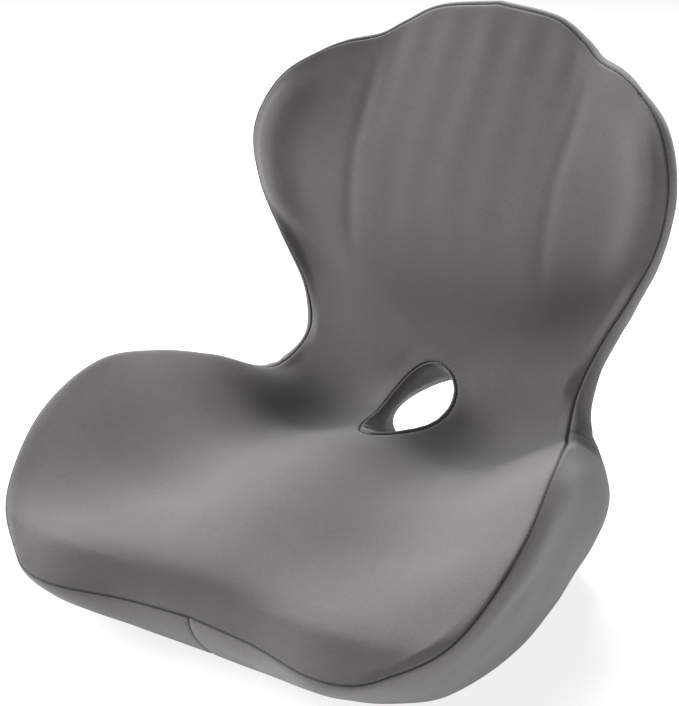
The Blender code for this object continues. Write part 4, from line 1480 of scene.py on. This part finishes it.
class CUSHION_OT_face(bpy.types.Operator):
    """Make the long panel that the body touches, seat and back in one"""
    bl_idname = "cushion.face"
    bl_label = "Face panel"

    def execute(self, context):
        size = context.scene.cushion_cloth
        face_cover(size, knit_finish("face_velvet", size.face_colour, size.knit_pitch, 0.9,
                                     0.30))
        return {"FINISHED"}


class CUSHION_OT_bands(bpy.types.Operator):
    """Make the side bands of the seat and the band of the back"""
    bl_idname = "cushion.bands"
    bl_label = "Side bands"

    def execute(self, context):
        size = context.scene.cushion_cloth
        side_bands(size, band_finish(size))
        return {"FINISHED"}


class CUSHION_OT_rear(bpy.types.Operator):
    """Make the rear panels below and above the zip"""
    bl_idname = "cushion.rear"
    bl_label = "Rear panels"

    def execute(self, context):
        size = context.scene.cushion_cloth
        rear_covers(size, band_finish(size))
        return {"FINISHED"}


class CUSHION_OT_bottom(bpy.types.Operator):
    """Make the bottom panel with its grip dots"""
    bl_idname = "cushion.bottom"
    bl_label = "Bottom panel"

    def execute(self, context):
        size = context.scene.cushion_cloth
        bottom_cover(size, grip_finish("grip_fabric", size.grip_colour),
                     rubber_finish("grip_dots", size.grip_colour))
        return {"FINISHED"}


class CUSHION_OT_lining(bpy.types.Operator):
    """Make the lining of the tailbone opening, rolled over its rim"""
    bl_idname = "cushion.lining"
    bl_label = "Opening lining"

    def execute(self, context):
        size = context.scene.cushion_cloth
        opening_lining(knit_finish("lining_velvet", size.face_colour, size.knit_pitch,
                                   0.9, 0.30))
        return {"FINISHED"}


class CUSHION_OT_foam(bpy.types.Operator):
    """Make the two foam bodies inside the cover"""
    bl_idname = "cushion.foam"
    bl_label = "Foam bodies"

    def execute(self, context):
        foam_bodies(foam_finish("memory_foam", context.scene.cushion_cloth.foam_colour))
        return {"FINISHED"}


class CUSHION_OT_stitches(bpy.types.Operator):
    """Sew the visible stitches beside the face seam and round the opening"""
    bl_idname = "cushion.stitches"
    bl_label = "Stitches"

    def execute(self, context):
        size = context.scene.cushion_cloth
        seam_stitches(size, thread_finish("sewing_thread", size.thread_colour))
        return {"FINISHED"}


class CUSHION_OT_zip(bpy.types.Operator):
    """Make the zip's coils and finish its tapes, slider, pull and stops"""
    bl_idname = "cushion.zip"
    bl_label = "Zip"

    def execute(self, context):
        colours = context.scene.cushion_zip
        zip_parts(tape_finish("zip_tape_weave", colours.tape_colour),
                  nylon_finish("zip_coil_nylon", colours.coil_colour),
                  metal_finish("zip_metal", colours.metal_colour))
        return {"FINISHED"}


class CUSHION_OT_stage(bpy.types.Operator):
    """Lay the floor and set up the lights and the camera"""
    bl_idname = "cushion.stage"
    bl_label = "Stage"

    def execute(self, context):
        build_stage(context.scene.cushion_stage)
        return {"FINISHED"}


def band_finish(size):
    """The cloth of the bands and the rear, made once."""
    if "band" not in made:
        made["band"] = knit_finish("band_knit", size.band_colour, size.knit_pitch * 1.3, 0.7,
                                   0.25)
    return made["band"]


class CUSHION_PT_panel(bpy.types.Panel):
    """Everything that the cushion is made of"""
    bl_idname = "CUSHION_PT_panel"
    bl_label = "Cushion"
    bl_space_type = "VIEW_3D"
    bl_region_type = "UI"
    bl_category = "Cushion"

    def draw(self, context):
        for operator in OPERATORS:
            self.layout.operator(operator.bl_idname)
        for group in (context.scene.cushion_cloth, context.scene.cushion_zip,
                      context.scene.cushion_stage):
            for name in group.__annotations__:
                self.layout.prop(group, name)


OPERATORS = (CUSHION_OT_swell, CUSHION_OT_face, CUSHION_OT_bands, CUSHION_OT_rear,
             CUSHION_OT_bottom, CUSHION_OT_lining, CUSHION_OT_foam, CUSHION_OT_stitches,
             CUSHION_OT_zip, CUSHION_OT_stage)
CLASSES = (CushionCloth, CushionZip, CushionStage, *OPERATORS, CUSHION_PT_panel)


def register():
    for item in CLASSES:
        bpy.utils.register_class(item)
    bpy.types.Scene.cushion_cloth = PointerProperty(type=CushionCloth)
    bpy.types.Scene.cushion_zip = PointerProperty(type=CushionZip)
    bpy.types.Scene.cushion_stage = PointerProperty(type=CushionStage)


def unregister():
    del bpy.types.Scene.cushion_stage
    del bpy.types.Scene.cushion_zip
    del bpy.types.Scene.cushion_cloth
    for item in reversed(CLASSES):
        bpy.utils.unregister_class(item)


def main():
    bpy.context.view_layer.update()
    register()
    bpy.ops.cushion.swell()
    bpy.ops.cushion.face()
    bpy.ops.cushion.bands()
    bpy.ops.cushion.rear()
    bpy.ops.cushion.bottom()
    bpy.ops.cushion.lining()
    bpy.ops.cushion.foam()
    bpy.ops.cushion.stitches()
    bpy.ops.cushion.zip()
    bpy.ops.cushion.stage()


if __name__ == "__main__":
    main()
